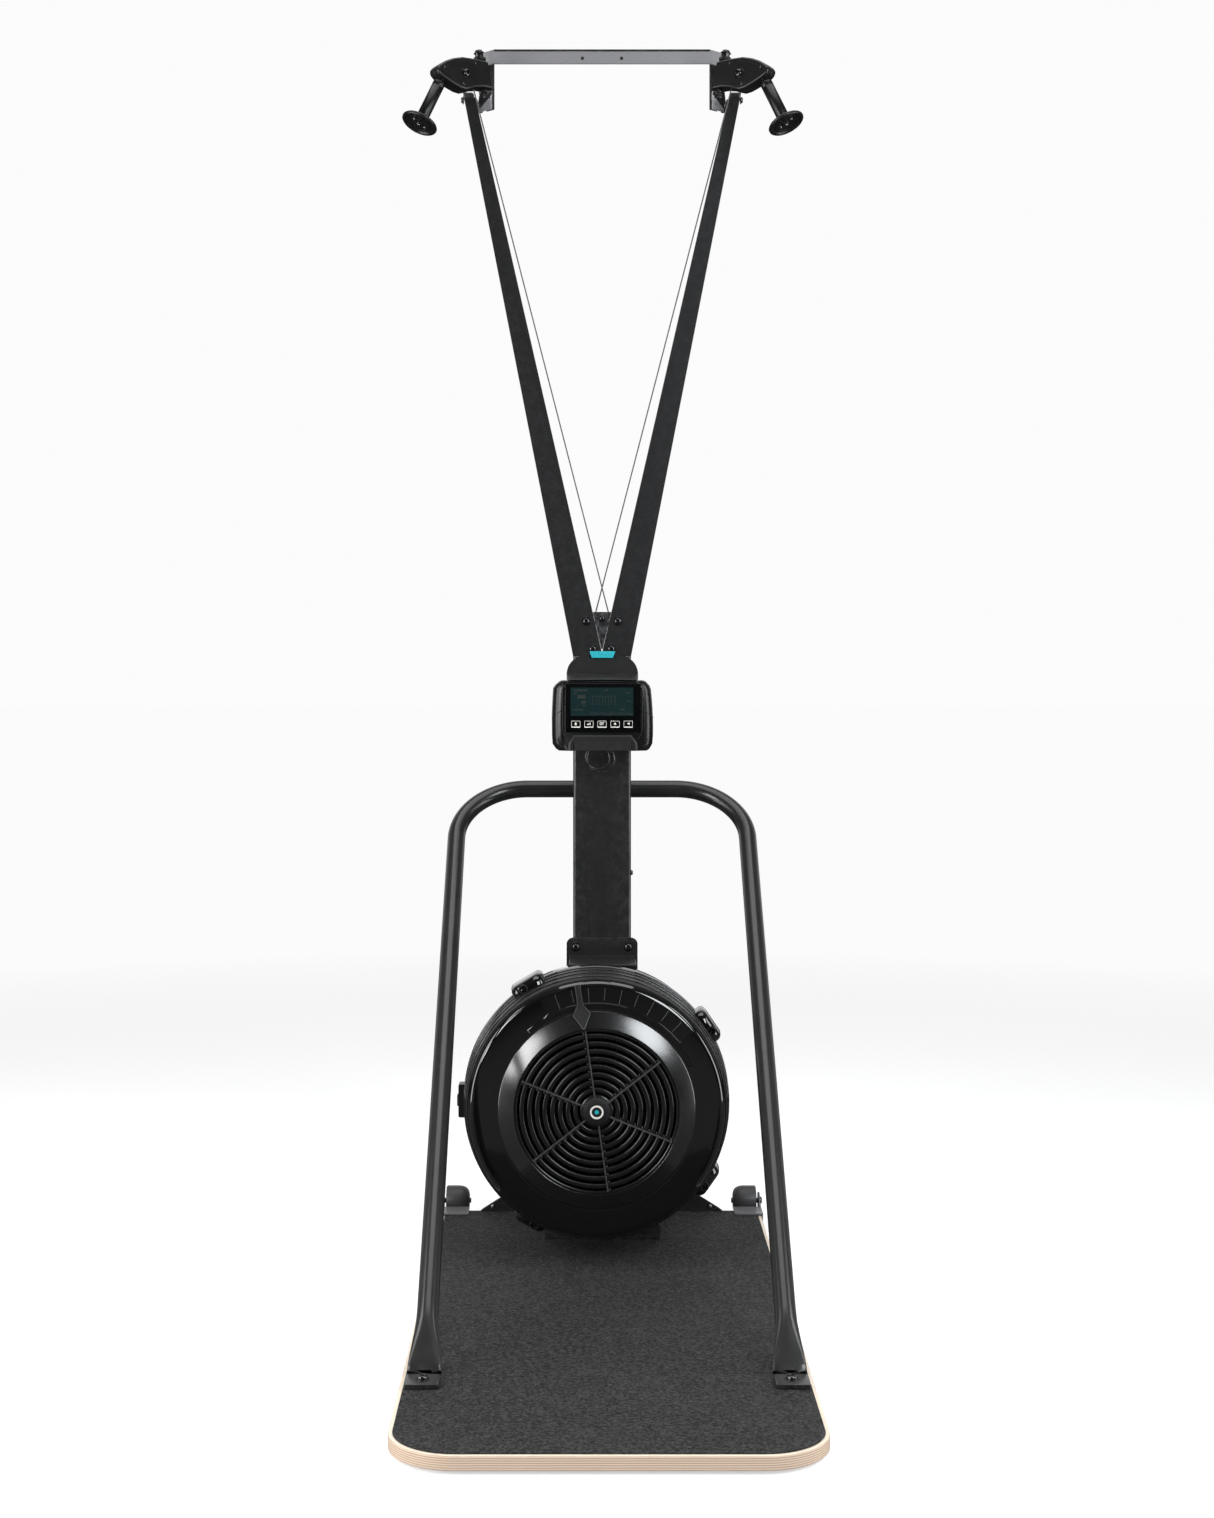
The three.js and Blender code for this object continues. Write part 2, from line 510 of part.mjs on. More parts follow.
function fanLever() {
  const band = [...COVER_FACE.map(([r, y]) => [r, y - 0.7]), [139, 189.3], [139, 185.5],
    ...[...COVER_FACE].reverse().map(([r, y]) => [r, y - 4.7])];
  band[0] = [219, 202.3];
  band[band.length - 1] = [219, 198.3];
  const outward = outwardAt(LEVER_ANGLE);
  const aside = outward.clone().cross(Y);
  const spear = [[-9, 217], [-6, 205], [-7, 176], [-15.5, 160], [0, 141], [15.5, 160], [7, 176], [6, 205],
    [9, 217]];
  const blade = common(turned(band, FAN.segments, at(0, 0, 0), Y), prism(spear, 180, 206, aside, outward, Y));
  const middle = (SLOT.inner + SLOT.outer) / 2;
  const foot = (y) => outward.clone().multiplyScalar(middle).setY(y);
  return join(blade, rod(foot(200), foot(209), 2.5, 10));
}

function fan() {
  const group = new THREE.Group();
  group.position.set(FAN.x, 0, FAN.z);
  const bore = SHAFT_RADIUS + GAP;
  const { rim, barrel } = FAN;
  const rear = [[rim, 313], [rim, 321], [barrel, 325], [barrel, 395], [214, 424], [190, 437], [bore + 4, 437],
    [bore + 4, 433],
    [187, 433], [209, 421], [221.5, 394], [221.5, 322], [229, 318], [229, 313]];
  add(group, "fan_rear_shell", turned(rear, FAN.segments, at(0, 0, 0), Y), GLOSS_BLACK);
  add(group, "fan_front_shell", fanCover(), GLOSS_BLACK);

  const rings = Array.from({ length: GRILLE.rings }, (_, i) => {
    const inner = GRILLE.first + GRILLE.pitch * i;
    return ring(inner, inner + GRILLE.width, GRILLE.front + GAP, GRILLE.back - 0.4, 20);
  });
  const spokes = SPOKES.map((angle) => {
    const outward = outwardAt(angle);
    const bar = [[-2, 20], [2, 20], [2, GRILLE.rim + 2], [-2, GRILLE.rim + 2]];
    return prism(bar, GRILLE.front, GRILLE.back, outward.clone().cross(Y), outward, Y);
  });
  const grille = join(ring(GRILLE.rim, GRILLE.edge, GRILLE.front, GRILLE.back),
    ring(SHAFT_RADIUS + 0.5, GRILLE.hub, GRILLE.front, GRILLE.back, 28), ...rings, ...spokes);
  add(group, "fan_grille", grille, MATTE_BLACK);
  const cap = [[0, 184], [16, 184.4], [22, 186], [24, 188.5], [24, 190], [0, 190]];
  add(group, "hub_cap", turned(cap, 28, at(0, 0, 0), Y), MATTE_BLACK);

  const { inner, outer, front, back } = BLOWER;
  const blades = Array.from({ length: BLOWER.blades }, (_, i) => {
    const outward = outwardAt((i / BLOWER.blades) * 360);
    const blade = [[-1.2, inner], [1.2, inner], [1.2, outer], [-1.2, outer]];
    return prism(blade, front, back, outward.clone().cross(Y), outward, Y);
  });
  const hub = ring(bore, 24, front - 8, back + 5, 24);
  const wheel = join(hub, ring(20, BLOWER.disc, back - 1, back + 2), ...blades);
  add(group, "fan_wheel", wheel, MATTE_BLACK);
  add(group, "fan_shaft", rod(at(0, 220, 0), at(0, 530, 0), SHAFT_RADIUS, 20), STEEL);

  for (const [side, y] of [["left", DRUM.leftY], ["right", DRUM.rightY]]) {
    const half = DRUM.width / 2;
    const profile = [[bore, -half], [DRUM.flange, -half], [DRUM.flange, -half + 3], [DRUM.radius, -half + 4],
      [DRUM.radius, half - 4], [DRUM.flange, half - 3], [DRUM.flange, half], [bore, half]];
    add(group, `cord_drum_${side}`, turned(profile, 28, at(0, y, 0), Y), ALUMINIUM);
  }
  const block = cut(box(-25, 25, 516, COLUMN.back - COLUMN.wall - GAP, -25, 25),
    rod(at(0, 500, 0), at(0, 550, 0), bore, 20));
  add(group, "drum_bearing_block", block, STEEL);
  const damper = [0, 120, 240].map((from) => sector(184, 200, from + 15, from + 105, 205, 215));
  add(group, "damper_ring", cut(ring(166, 206, 209.3, 211.8), ...damper), GREY_PAINT);
  add(group, "damper_lever", fanLever(), MATTE_BLACK);
  return group;
}

// A plate on the column's front with a ledge that lies on top of the fan's barrel.
function fanTopBracket() {
  const outline = roundedRectangle(-65, 65, 492, 562, [3, 3, 12, 12]);
  const plate = upright(outline, COLUMN.front - 3.5, COLUMN.front - GAP);
  const over = FAN.z + FAN.barrel + 2 * GAP;
  const ledge = box(-60, 60, 345, COLUMN.front - GAP, over, over + 3);
  return join(plate, ledge);
}

// ---- console ------------------------------------------------------------------------------
function consoleHousing() {
  const { half, bottom, top, front, back, wall } = CONSOLE;
  const shape = (inset) => [[-half + 12, bottom + inset], [half - 12, bottom + inset],
    [half - 2 - inset, bottom + 16], [half - inset, bottom + 50], [half - 1 - inset, top - 14],
    [half - 13, top - inset], [-half + 13, top - inset],
    [-half + 1 + inset, top - 14], [-half + inset, bottom + 50], [-half + 2 + inset, bottom + 16]];
  const { left, right, thick } = SCREEN;
  const pocket = box(left - GAP, right + GAP, front - 5, front + thick + 2 * GAP, SCREEN.bottom - GAP,
    SCREEN.top + GAP);
  const window = box(left + 7, right - 7, front - 5, front + 9, SCREEN.bottom + 5, SCREEN.top - 5);
  const ears = [-1, 1].flatMap((s) => {
    const [x0, x1] = [s * 13.2 - 3, s * 13.2 + 3];
    return [box(x0, x1, back - 1, TILT.y, TILT.z - TILT.radius, TILT.z + TILT.radius),
      rod(at(x0, TILT.y, TILT.z), at(x1, TILT.y, TILT.z), TILT.radius, 20)];
  });
  const pin = rod(at(-14, TILT.y, TILT.z), at(14, TILT.y, TILT.z), TILT.pin, 16);
  const inside = upright(shape(wall), front + 5, back - wall);
  const shell = cut(upright(shape(0), front, back), inside, pocket, window);
  return join(shell, ...ears, pin);
}

function consoleUnit() {
  const group = new THREE.Group();
  const { front } = CONSOLE;
  add(group, "console_housing", consoleHousing(), MATTE_BLACK);
  const firstKey = KEY.middle - ((KEY.count - 1) / 2) * KEY.pitch;
  const keys = Array.from({ length: KEY.count }, (_, i) => firstKey + i * KEY.pitch);
  const keyBox = (x, extra, y0, y1) => box(x - KEY.width / 2 - extra, x + KEY.width / 2 + extra, y0, y1,
    KEY.z - KEY.height / 2 - extra, KEY.z + KEY.height / 2 + extra);
  const seat = front + GAP;
  const pane = box(SCREEN.left, SCREEN.right, seat, seat + SCREEN.thick, SCREEN.bottom, SCREEN.top);
  add(group, "console_screen", cut(pane, ...keys.map((x) => keyBox(x, GAP, front - 5, front + 9))), GLASS);
  const proud = front - 0.1;
  keys.forEach((x, i) => add(group, `key_${i + 1}`, keyBox(x, 0, proud, proud + KEY.deep), KEY_WHITE));

  const dome = new THREE.Shape();
  dome.moveTo(-64.5, 1034 + GAP);
  dome.lineTo(64.5, 1034 + GAP);
  dome.lineTo(64.5, 1050);
  dome.bezierCurveTo(60, 1072, 40, 1081, 22, 1081);
  dome.lineTo(-22, 1081);
  dome.bezierCurveTo(-40, 1081, -60, 1072, -64.5, 1050);
  const rest = join(upright(dome, 399, 405), box(-62, 62, 366, 404, 1034 + GAP, 1038));
  add(group, "device_rest", rest, MATTE_BLACK);
  const tab = cut(upright([[-19, 1074], [19, 1074], [23, 1086], [-23, 1086]], 394, 408),
    upright([[-40, 1060], [40, 1060], [40, 1081 + GAP], [-40, 1081 + GAP]], 399 - GAP, 405 + GAP));
  add(group, "device_rest_tab", tab, CYAN);

  const arm = cut(join(
    box(-24, 24, 455.7, COLUMN.front - GAP, 925 + 8, 995),
    box(-9, 9, TILT.y, 456, TILT.z - TILT.radius, TILT.z + TILT.radius),
    rod(at(-9, TILT.y, TILT.z), at(9, TILT.y, TILT.z), TILT.radius, 20)),
  rod(at(-20, TILT.y, TILT.z), at(20, TILT.y, TILT.z), TILT.pin + GAP, 16));
  add(group, "console_arm", arm, BLACK_PAINT);

  // The lead leaves the console's back, hangs in two loops and goes into the column.
  const loops = [at(-14, CONSOLE.back + GAP, 925), at(-14.2, 411, 925), at(-22, 414.5, 919)];
  for (let i = 0; i <= 20; i++) {
    const angle = radians(165 + i * 32);
    const second = i / 20;
    const radius = 19 + 6 * second;
    loops.push(at(-11 + 11 * second + radius * Math.cos(angle), 416 + 30 * second,
      894 - 7 * second + radius * Math.sin(angle)));
  }
  loops.push(at(LEAD_HOLE.x, 453, LEAD_HOLE.z - 0.5), at(LEAD_HOLE.x, COLUMN.front - GAP, LEAD_HOLE.z));
  add(group, "console_lead", slackCord(loops, LEAD_RADIUS, 60), RUBBER);
  return group;
}

part.add(platform(), mast(), standTube(), fan(), consoleUnit());
SIDES.forEach(([side, s]) => part.add(head(side, s)));
add(part, "fan_top_bracket", fanTopBracket(), BLACK_PAINT);

export default part;
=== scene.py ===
"""Looks of a standing ski trainer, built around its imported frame. Forms are drawn in millimetres."""
import json
from math import acos, atan2, cos, pi, radians, sin, sqrt

import bmesh
import bpy
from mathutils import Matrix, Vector


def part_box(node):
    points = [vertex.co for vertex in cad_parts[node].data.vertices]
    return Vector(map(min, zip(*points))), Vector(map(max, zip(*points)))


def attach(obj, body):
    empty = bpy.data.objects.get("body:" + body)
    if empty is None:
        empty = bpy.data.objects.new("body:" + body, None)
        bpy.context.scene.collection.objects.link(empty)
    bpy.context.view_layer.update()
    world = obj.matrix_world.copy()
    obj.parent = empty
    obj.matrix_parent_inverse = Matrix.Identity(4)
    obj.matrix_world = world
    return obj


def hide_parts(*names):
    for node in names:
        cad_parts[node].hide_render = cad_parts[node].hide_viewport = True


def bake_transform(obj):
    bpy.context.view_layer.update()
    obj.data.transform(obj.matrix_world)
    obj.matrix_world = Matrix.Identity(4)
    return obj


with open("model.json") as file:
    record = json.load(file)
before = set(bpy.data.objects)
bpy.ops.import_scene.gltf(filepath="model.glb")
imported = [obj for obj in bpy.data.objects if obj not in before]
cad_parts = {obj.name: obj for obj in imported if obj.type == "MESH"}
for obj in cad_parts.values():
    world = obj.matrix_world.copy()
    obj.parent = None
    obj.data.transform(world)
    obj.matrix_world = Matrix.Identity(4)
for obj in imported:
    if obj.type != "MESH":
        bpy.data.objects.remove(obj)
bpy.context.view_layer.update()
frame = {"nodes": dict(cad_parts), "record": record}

MM = 0.001
SIDES = (("left", -1), ("right", 1))
X, Y, Z = Vector((1, 0, 0)), Vector((0, 1, 0)), Vector((0, 0, 1))
scene = bpy.context.scene
record = frame["record"]
BODY_OF = {node: body for body, nodes in record["behaviour"]["bodies"].items() for node in nodes}
JOINTS = {joint["name"]: joint for joint in record["behaviour"]["joints"]}


def corners(node):
    """A node's lowest and highest corners, in millimetres."""
    low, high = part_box(node)
    return Vector(low) / MM, Vector(high) / MM


# ---- camera --------------------------------------------------------------------------------
camera = bpy.data.objects.new("camera", bpy.data.cameras.new("camera"))
scene.collection.objects.link(camera)
scene.camera = camera
camera.location = (-0.0358, -3.581, 1.081)
camera.rotation_euler = (pi / 2, 0, 0)
camera.data.sensor_fit = "VERTICAL"
camera.data.sensor_height = 36
camera.data.lens = 52.35
camera.data.shift_x = 0.01613
camera.data.shift_y = -0.0692


# ---- shader groups: each effect is built once and placed in every material that shows it ---
def new_group(name, inputs, outputs):
    group = bpy.data.node_groups.new(name, "ShaderNodeTree")
    for label, kind, value in inputs:
        socket = group.interface.new_socket(label, in_out="INPUT", socket_type="NodeSocket" + kind)
        socket.default_value = value
    for label, kind in outputs:
        group.interface.new_socket(label, in_out="OUTPUT", socket_type="NodeSocket" + kind)
    return group, group.nodes.new("NodeGroupInput"), group.nodes.new("NodeGroupOutput")


def node(tree, kind, **settings):
    made = tree.nodes.new("ShaderNode" + kind)
    for key, value in settings.items():
        setattr(made, key, value)
    return made


def feed(tree, target, socket, source):
    """Links a source socket, or sets a plain value."""
    if isinstance(source, bpy.types.NodeSocket):
        tree.links.new(source, target.inputs[socket])
    else:
        target.inputs[socket].default_value = source


def maths(tree, operation, a, b=0.0, clamp=False):
    made = node(tree, "Math", operation=operation, use_clamp=clamp)
    feed(tree, made, 0, a)
    feed(tree, made, 1, b)
    return made.outputs[0]


def mixed(tree, factor, a, b, blend="MIX"):
    made = node(tree, "Mix", data_type="RGBA", blend_type=blend)
    feed(tree, made, 0, factor)
    feed(tree, made, 6, a)
    feed(tree, made, 7, b)
    return made.outputs[2]


def ranged(tree, value, low, high, to_low, to_high):
    made = node(tree, "MapRange")
    for socket, source in enumerate((value, low, high, to_low, to_high)):
        feed(tree, made, socket, source)
    return made.outputs[0]


def noise(tree, where, scale, detail=3.0, roughness=0.5):
    made = node(tree, "TexNoise")
    feed(tree, made, "Vector", where)
    feed(tree, made, "Scale", scale)
    feed(tree, made, "Detail", detail)
    feed(tree, made, "Roughness", roughness)
    return made.outputs["Fac"]


def place_of(tree):
    return node(tree, "TexCoord").outputs["Object"]


def parted(tree, source):
    """The X, Y and Z outputs of a vector."""
    made = node(tree, "SeparateXYZ")
    tree.links.new(source, made.inputs[0])
    return made.outputs


def upward(tree):
    """How far a face looks up: 1 for straight up, -1 for straight down."""
    return parted(tree, node(tree, "NewGeometry").outputs["Normal"])["Z"]


def stretched(tree, scale, turn=(0, 0, 0)):
    """The object's own coordinates, turned and scaled, for a texture that has a direction."""
    made = node(tree, "Mapping")
    tree.links.new(place_of(tree), made.inputs["Vector"])
    made.inputs["Rotation"].default_value = turn
    made.inputs["Scale"].default_value = scale
    return made.outputs[0]


def dimmed(colour, factor):
    return tuple(c * factor for c in colour[:3]) + (1,)


def build_grain():
    """Fine moulded or sprayed grain: a height, and a value between two limits that drifts slowly."""
    group, given, result = new_group(
        "fine_grain",
        [("Scale", "Float", 1200.0), ("Drift Scale", "Float", 9.0), ("Low", "Float", 0.4),
         ("High", "Float", 0.5)],
        [("Height", "Float"), ("Value", "Float")])
    where = place_of(group)
    fine = noise(group, where, given.outputs["Scale"], 2.0, 0.6)
    drift = noise(group, where, given.outputs["Drift Scale"], 4.0, 0.6)
    blend = maths(group, "ADD", maths(group, "MULTIPLY", fine, 0.6), maths(group, "MULTIPLY", drift, 0.4))
    value = ranged(group, blend, 0.3, 0.7, given.outputs["Low"], given.outputs["High"])
    group.links.new(fine, result.inputs["Height"])
    group.links.new(value, result.inputs["Value"])
    return group


def build_edge_wear():
    """Rubbed edges: the worn colour shows where the surface is sharpest, broken up by noise."""
    group, given, result = new_group(
        "edge_wear",
        [("Color", "Color", (0, 0, 0, 1)), ("Worn Color", "Color", (1, 1, 1, 1)), ("Amount", "Float", 0.3)],
        [("Color", "Color"), ("Mask", "Float")])
    edge = ranged(group, node(group, "NewGeometry").outputs["Pointiness"], 0.52, 0.62, 0.0, 1.0)
    broken = ranged(group, noise(group, place_of(group), 90.0, 5.0, 0.7), 0.42, 0.66, 0.0, 1.0)
    mask = maths(group, "MULTIPLY", maths(group, "MULTIPLY", edge, broken), given.outputs["Amount"], True)
    colour = mixed(group, mask, given.outputs["Color"], given.outputs["Worn Color"])
    group.links.new(colour, result.inputs["Color"])
    group.links.new(mask, result.inputs["Mask"])
    return group


def build_dust():
    """A thin film of dust on faces that look up, uneven like dust that has been wiped once."""
    group, given, result = new_group(
        "settled_dust",
        [("Color", "Color", (0, 0, 0, 1)), ("Dust Color", "Color", (0.45, 0.43, 0.4, 1)),
         ("Amount", "Float", 0.1)],
        [("Color", "Color"), ("Mask", "Float")])
    facing = ranged(group, upward(group), 0.15, 1.0, 0.0, 1.0)
    patches = ranged(group, noise(group, place_of(group), 22.0, 6.0, 0.65), 0.35, 0.75, 0.25, 1.0)
    mask = maths(group, "MULTIPLY", maths(group, "MULTIPLY", facing, patches), given.outputs["Amount"], True)
    group.links.new(mixed(group, mask, given.outputs["Color"], given.outputs["Dust Color"]),
                    result.inputs["Color"])
    group.links.new(mask, result.inputs["Mask"])
    return group


def build_scuffs():
    """Hairline scuffs for glossy mouldings: a roughness between two limits."""
    group, given, result = new_group(
        "hairline_scuffs",
        [("Low", "Float", 0.08), ("High", "Float", 0.2), ("Scale", "Float", 30.0)],
        [("Roughness", "Float"), ("Height", "Float")])
    hairs = stretched(group, (1.0, 14.0, 1.0), (0.3, 0.7, 0.5))
    lines = ranged(group, noise(group, hairs, given.outputs["Scale"], 6.0, 0.75), 0.56, 0.7, 0.0, 1.0)
    haze = ranged(group, noise(group, place_of(group), 7.0, 4.0, 0.6), 0.4, 0.75, 0.0, 1.0)
    both = maths(group, "MAXIMUM", maths(group, "MULTIPLY", lines, 0.6), maths(group, "MULTIPLY", haze, 0.5))
    rough = ranged(group, both, 0.0, 1.0, given.outputs["Low"], given.outputs["High"])
    group.links.new(rough, result.inputs["Roughness"])
    group.links.new(both, result.inputs["Height"])
    return group


GRAIN, EDGE_WEAR, DUST, SCUFFS = build_grain(), build_edge_wear(), build_dust(), build_scuffs()


# ---- materials -----------------------------------------------------------------------------
class Finish:
    """A material under construction: its tree, its shader and the groups placed in it."""

    def __init__(self, name, **sockets):
        self.material = bpy.data.materials.new(name)
        self.material.use_nodes = True
        self.tree = self.material.node_tree
        self.shader = self.tree.nodes["Principled BSDF"]
        for socket, value in sockets.items():
            self.shader.inputs[socket.replace("_", " ")].default_value = value

    def group(self, group, **sockets):
        made = node(self.tree, "Group", node_tree=group)
        for socket, source in sockets.items():
            feed(self.tree, made, socket.replace("_", " "), source)
        return made.outputs

    def set(self, socket, source):
        feed(self.tree, self.shader, socket, source)
        return self

    def bump(self, height, strength, distance):
        made = node(self.tree, "Bump")
        made.inputs["Strength"].default_value = strength
        made.inputs["Distance"].default_value = distance
        self.tree.links.new(height, made.inputs["Height"])
        return self.set("Normal", made.outputs[0])

    def coloured(self, colour, worn, wear, dust):
        """Base colour with rubbed edges and a film of dust."""
        edges = self.group(EDGE_WEAR, Color=colour, Worn_Color=worn, Amount=wear)
        film = self.group(DUST, Color=edges["Color"], Amount=dust)
        return self.set("Base Color", film["Color"])


def shade(value, alpha=1.0):
    return (value, value, value * 1.04, alpha)


def coated_metal(name, tone, low, high, grain_scale=1500.0):
    finish = Finish(name, Metallic=0.0, Specular_IOR_Level=0.25, Coat_Weight=0.5, Coat_Roughness=0.17)
    grain = finish.group(GRAIN, Scale=grain_scale, Low=low, High=high)
    tint = mixed(finish.tree, grain["Height"], shade(tone * 0.94), shade(tone * 1.07))
    finish.coloured(tint, shade(0.16), 0.35, 0.03)
    return finish.set("Roughness", grain["Value"]).bump(grain["Height"], 0.08, 0.00025).material


def moulded(name, tone, low, high, scale, strength, dust=0.05):
    finish = Finish(name, Specular_IOR_Level=0.34)
    grain = finish.group(GRAIN, Scale=scale, Low=low, High=high)
    tint = mixed(finish.tree, grain["Height"], shade(tone * 0.8), shade(tone * 1.25))
    finish.coloured(tint, shade(tone * 4), 0.4, dust)
    return finish.set("Roughness", grain["Value"]).bump(grain["Height"], strength * 0.35, 0.0003).material


def glossy(name, tone, low, high, coat=0.5, coat_roughness=0.04):
    finish = Finish(name, Coat_Weight=coat, Coat_Roughness=coat_roughness)
    scuffs = finish.group(SCUFFS, Low=low, High=high, Scale=24.0)
    finish.coloured(shade(tone), shade(0.05), 0.25, 0.02)
    ripple = noise(finish.tree, place_of(finish.tree), 16.0, 2.0, 0.4)
    return finish.set("Roughness", scuffs["Roughness"]).bump(ripple, 0.04, 0.001).material


def metal(name, colour, low, high, brushed=(1, 1, 1)):
    """Bare or plated metal, with turning or brushing lines along one stretched direction."""
    finish = Finish(name, Metallic=1.0)
    lines = noise(finish.tree, stretched(finish.tree, brushed), 350.0, 4.0, 0.65)
    finish.set("Base Color", mixed(finish.tree, lines, dimmed(colour, 0.72), colour))
    finish.set("Roughness", ranged(finish.tree, lines, 0.3, 0.7, low, high))
    return finish.bump(lines, 0.12, 0.0002).material


def birch_ply():
    """Pale birch face grain on top, and thin plies of turned grain round the edge."""
    finish = Finish("birch_ply", Coat_Weight=0.25, Coat_Roughness=0.25)
    tree = finish.tree
    where = place_of(tree)
    wobble = maths(tree, "MULTIPLY", noise(tree, where, 14.0, 3.0, 0.5), 0.0012)
    height = maths(tree, "ADD", parted(tree, where)["Z"], wobble)
    ply = maths(tree, "PINGPONG", height, 0.00155)
    turned = ranged(tree, ply, 0.0006, 0.00095, 0.0, 1.0)
    fibre = noise(tree, stretched(tree, (60.0, 60.0, 900.0)), 3.0, 4.0, 0.7)
    light = mixed(tree, fibre, (0.66, 0.5, 0.375, 1), (0.8, 0.66, 0.53, 1))
    dark = mixed(tree, fibre, (0.4, 0.27, 0.18, 1), (0.55, 0.4, 0.29, 1))
    edge = mixed(tree, turned, light, dark)
    figure = noise(tree, stretched(tree, (40.0, 2.5, 1.0)), 3.0, 6.0, 0.6)
    face = mixed(tree, figure, (0.78, 0.65, 0.5, 1), (0.9, 0.8, 0.66, 1))
    top = ranged(tree, maths(tree, "ABSOLUTE", upward(tree)), 0.75, 0.95, 0.0, 1.0)
    finish.set("Base Color", mixed(tree, top, edge, face))
    finish.set("Roughness", ranged(tree, fibre, 0.2, 0.8, 0.38, 0.56))
    return finish.bump(maths(tree, "ADD", fibre, maths(tree, "MULTIPLY", turned, -0.6)), 0.25,
                       0.0004).material


def grit_deck():
    """Anti-slip deck: coarse dark granules with pale flecks in a matte binder."""
    finish = Finish("grit_deck", Specular_IOR_Level=0.18)
    tree = finish.tree
    where = place_of(tree)
    grains = node(tree, "TexVoronoi", feature="F1")
    feed(tree, grains, "Vector", where)
    feed(tree, grains, "Scale", 520.0)
    fine = noise(tree, where, 900.0, 3.0, 0.7)
    clumps = noise(tree, where, 190.0, 5.0, 0.85)
    patches = noise(tree, where, 5.0, 4.0, 0.6)
    base = mixed(tree, ranged(tree, clumps, 0.42, 0.62, 0.0, 1.0), (0.004, 0.004, 0.004, 1),
                 (0.056, 0.056, 0.056, 1))
    flecks = ranged(tree, maths(tree, "MULTIPLY", fine, clumps), 0.31, 0.42, 0.0, 0.75)
    colour = mixed(tree, flecks, base, (0.16, 0.16, 0.163, 1))
    worn = mixed(tree, ranged(tree, patches, 0.4, 0.7, 0.0, 0.1), colour, (0.07, 0.069, 0.067, 1))
    finish.set("Base Color", worn)
    finish.set("Roughness", ranged(tree, fine, 0.3, 0.7, 0.62, 0.92))
    bumps = maths(tree, "ADD", maths(tree, "MULTIPLY", grains.outputs["Distance"], 1.2), clumps)
    return finish.bump(bumps, 0.85, 0.0009).material


def braided(name, light, dark, scale):
    """Braided line: crossed diagonal strands round the cord."""
    finish = Finish(name, Sheen_Weight=0.3)
    tree = finish.tree
    where = parted(tree, place_of(tree))
    rows = []
    for lean in (1.0, -1.0):
        slant = maths(tree, "ADD", maths(tree, "MULTIPLY", where["X"], lean), where["Z"])
        rows.append(maths(tree, "SINE", maths(tree, "MULTIPLY", slant, scale)))
    weave = ranged(tree, maths(tree, "MAXIMUM", rows[0], rows[1]), -0.2, 1.0, 0.0, 1.0)
    finish.set("Base Color", mixed(tree, weave, dark, light))
    finish.set("Roughness", ranged(tree, weave, 0.0, 1.0, 0.9, 0.6))
    return finish.bump(weave, 0.6, 0.0004).material


def lens(name):
    """Tinted display lens: almost black, very smooth, with faint wipe marks."""
    finish = Finish(name, Coat_Weight=0.6, Coat_Roughness=0.02, IOR=1.5)
    scuffs = finish.group(SCUFFS, Low=0.04, High=0.11, Scale=12.0)
    film = finish.group(DUST, Color=(0.0016, 0.0018, 0.002, 1), Amount=0.03)
    return finish.set("Base Color", film["Color"]).set("Roughness", scuffs["Roughness"]).material


def liquid_crystal():
    """Unlit display: dark green-grey with the faint columns of its cells. It also gives off a faint painted
    glow, though nothing lights it.
    """
    finish = Finish("liquid_crystal", Roughness=0.22, Coat_Weight=0.3, Coat_Roughness=0.05)
    tree = finish.tree
    wave = maths(tree, "SINE", maths(tree, "MULTIPLY", parted(tree, place_of(tree))["X"], 3400.0))
    columns = ranged(tree, wave, -1, 1, 0, 1)
    cloud = noise(tree, place_of(tree), 30.0, 2.0, 0.5)
    cells = mixed(tree, columns, (0.004, 0.012, 0.0115, 1), (0.006, 0.018, 0.0165, 1))
    colour = mixed(tree, cloud, cells, (0.004, 0.013, 0.015, 1))
    finish.set("Base Color", colour)
    # Painted glow: the display emits its own colour faintly, so it reads lighter than an unlit panel.
    finish.set("Emission Color", colour)
    finish.shader.inputs["Emission Strength"].default_value = 0.18
    return finish.material


def printed(name, colour):
    finish = Finish(name)
    grain = finish.group(GRAIN, Scale=2400.0, Low=0.45, High=0.6)
    finish.set("Base Color", mixed(finish.tree, grain["Height"], dimmed(colour, 0.8), colour))
    return finish.set("Roughness", grain["Value"]).bump(grain["Height"], 0.1, 0.0001).material


FRAME_COAT = coated_metal("satin_powder_coat", 0.0105, 0.33, 0.37)
DARK_COAT = coated_metal("dark_grey_powder_coat", 0.11, 0.4, 0.5)
# The tabs' pale tone is painted reflection: black steel tabs shown pale, set bright enough to stay pale in
# shade.
TAB_PAINTED_REFLECTION = coated_metal("tab_pale_painted_reflection", 0.75, 0.42, 0.52)
# The crossbar's grey is painted reflection: it stands in for the bright sheen on the face of a black-painted
# bar.
BAR_COAT = coated_metal("bar_grey_painted_reflection", 0.2, 0.4, 0.52)
GLOSS = glossy("gloss_moulding", 0.0025, 0.05, 0.15)
BEVEL = glossy("satin_bevel", 0.004, 0.2, 0.27, 1.0, 0.22)
TEXTURED = moulded("textured_moulding", 0.005, 0.42, 0.58, 1100.0, 0.35)
DEEP_BLACK = moulded("matte_black_wheel", 0.002, 0.6, 0.75, 900.0, 0.2, 0.0)
CASE_PLASTIC = moulded("case_moulding", 0.004, 0.23, 0.28, 500.0, 0.01, 0.02)
GRILLE_PLASTIC = moulded("grille_moulding", 0.006, 0.17, 0.24, 1800.0, 0.04, 0.03)
SMOOTH_PLASTIC = moulded("satin_moulding", 0.0045, 0.26, 0.38, 2200.0, 0.12)
DISC_PLASTIC = moulded("disc_moulding", 0.01, 0.3, 0.4, 1300.0, 0.2)
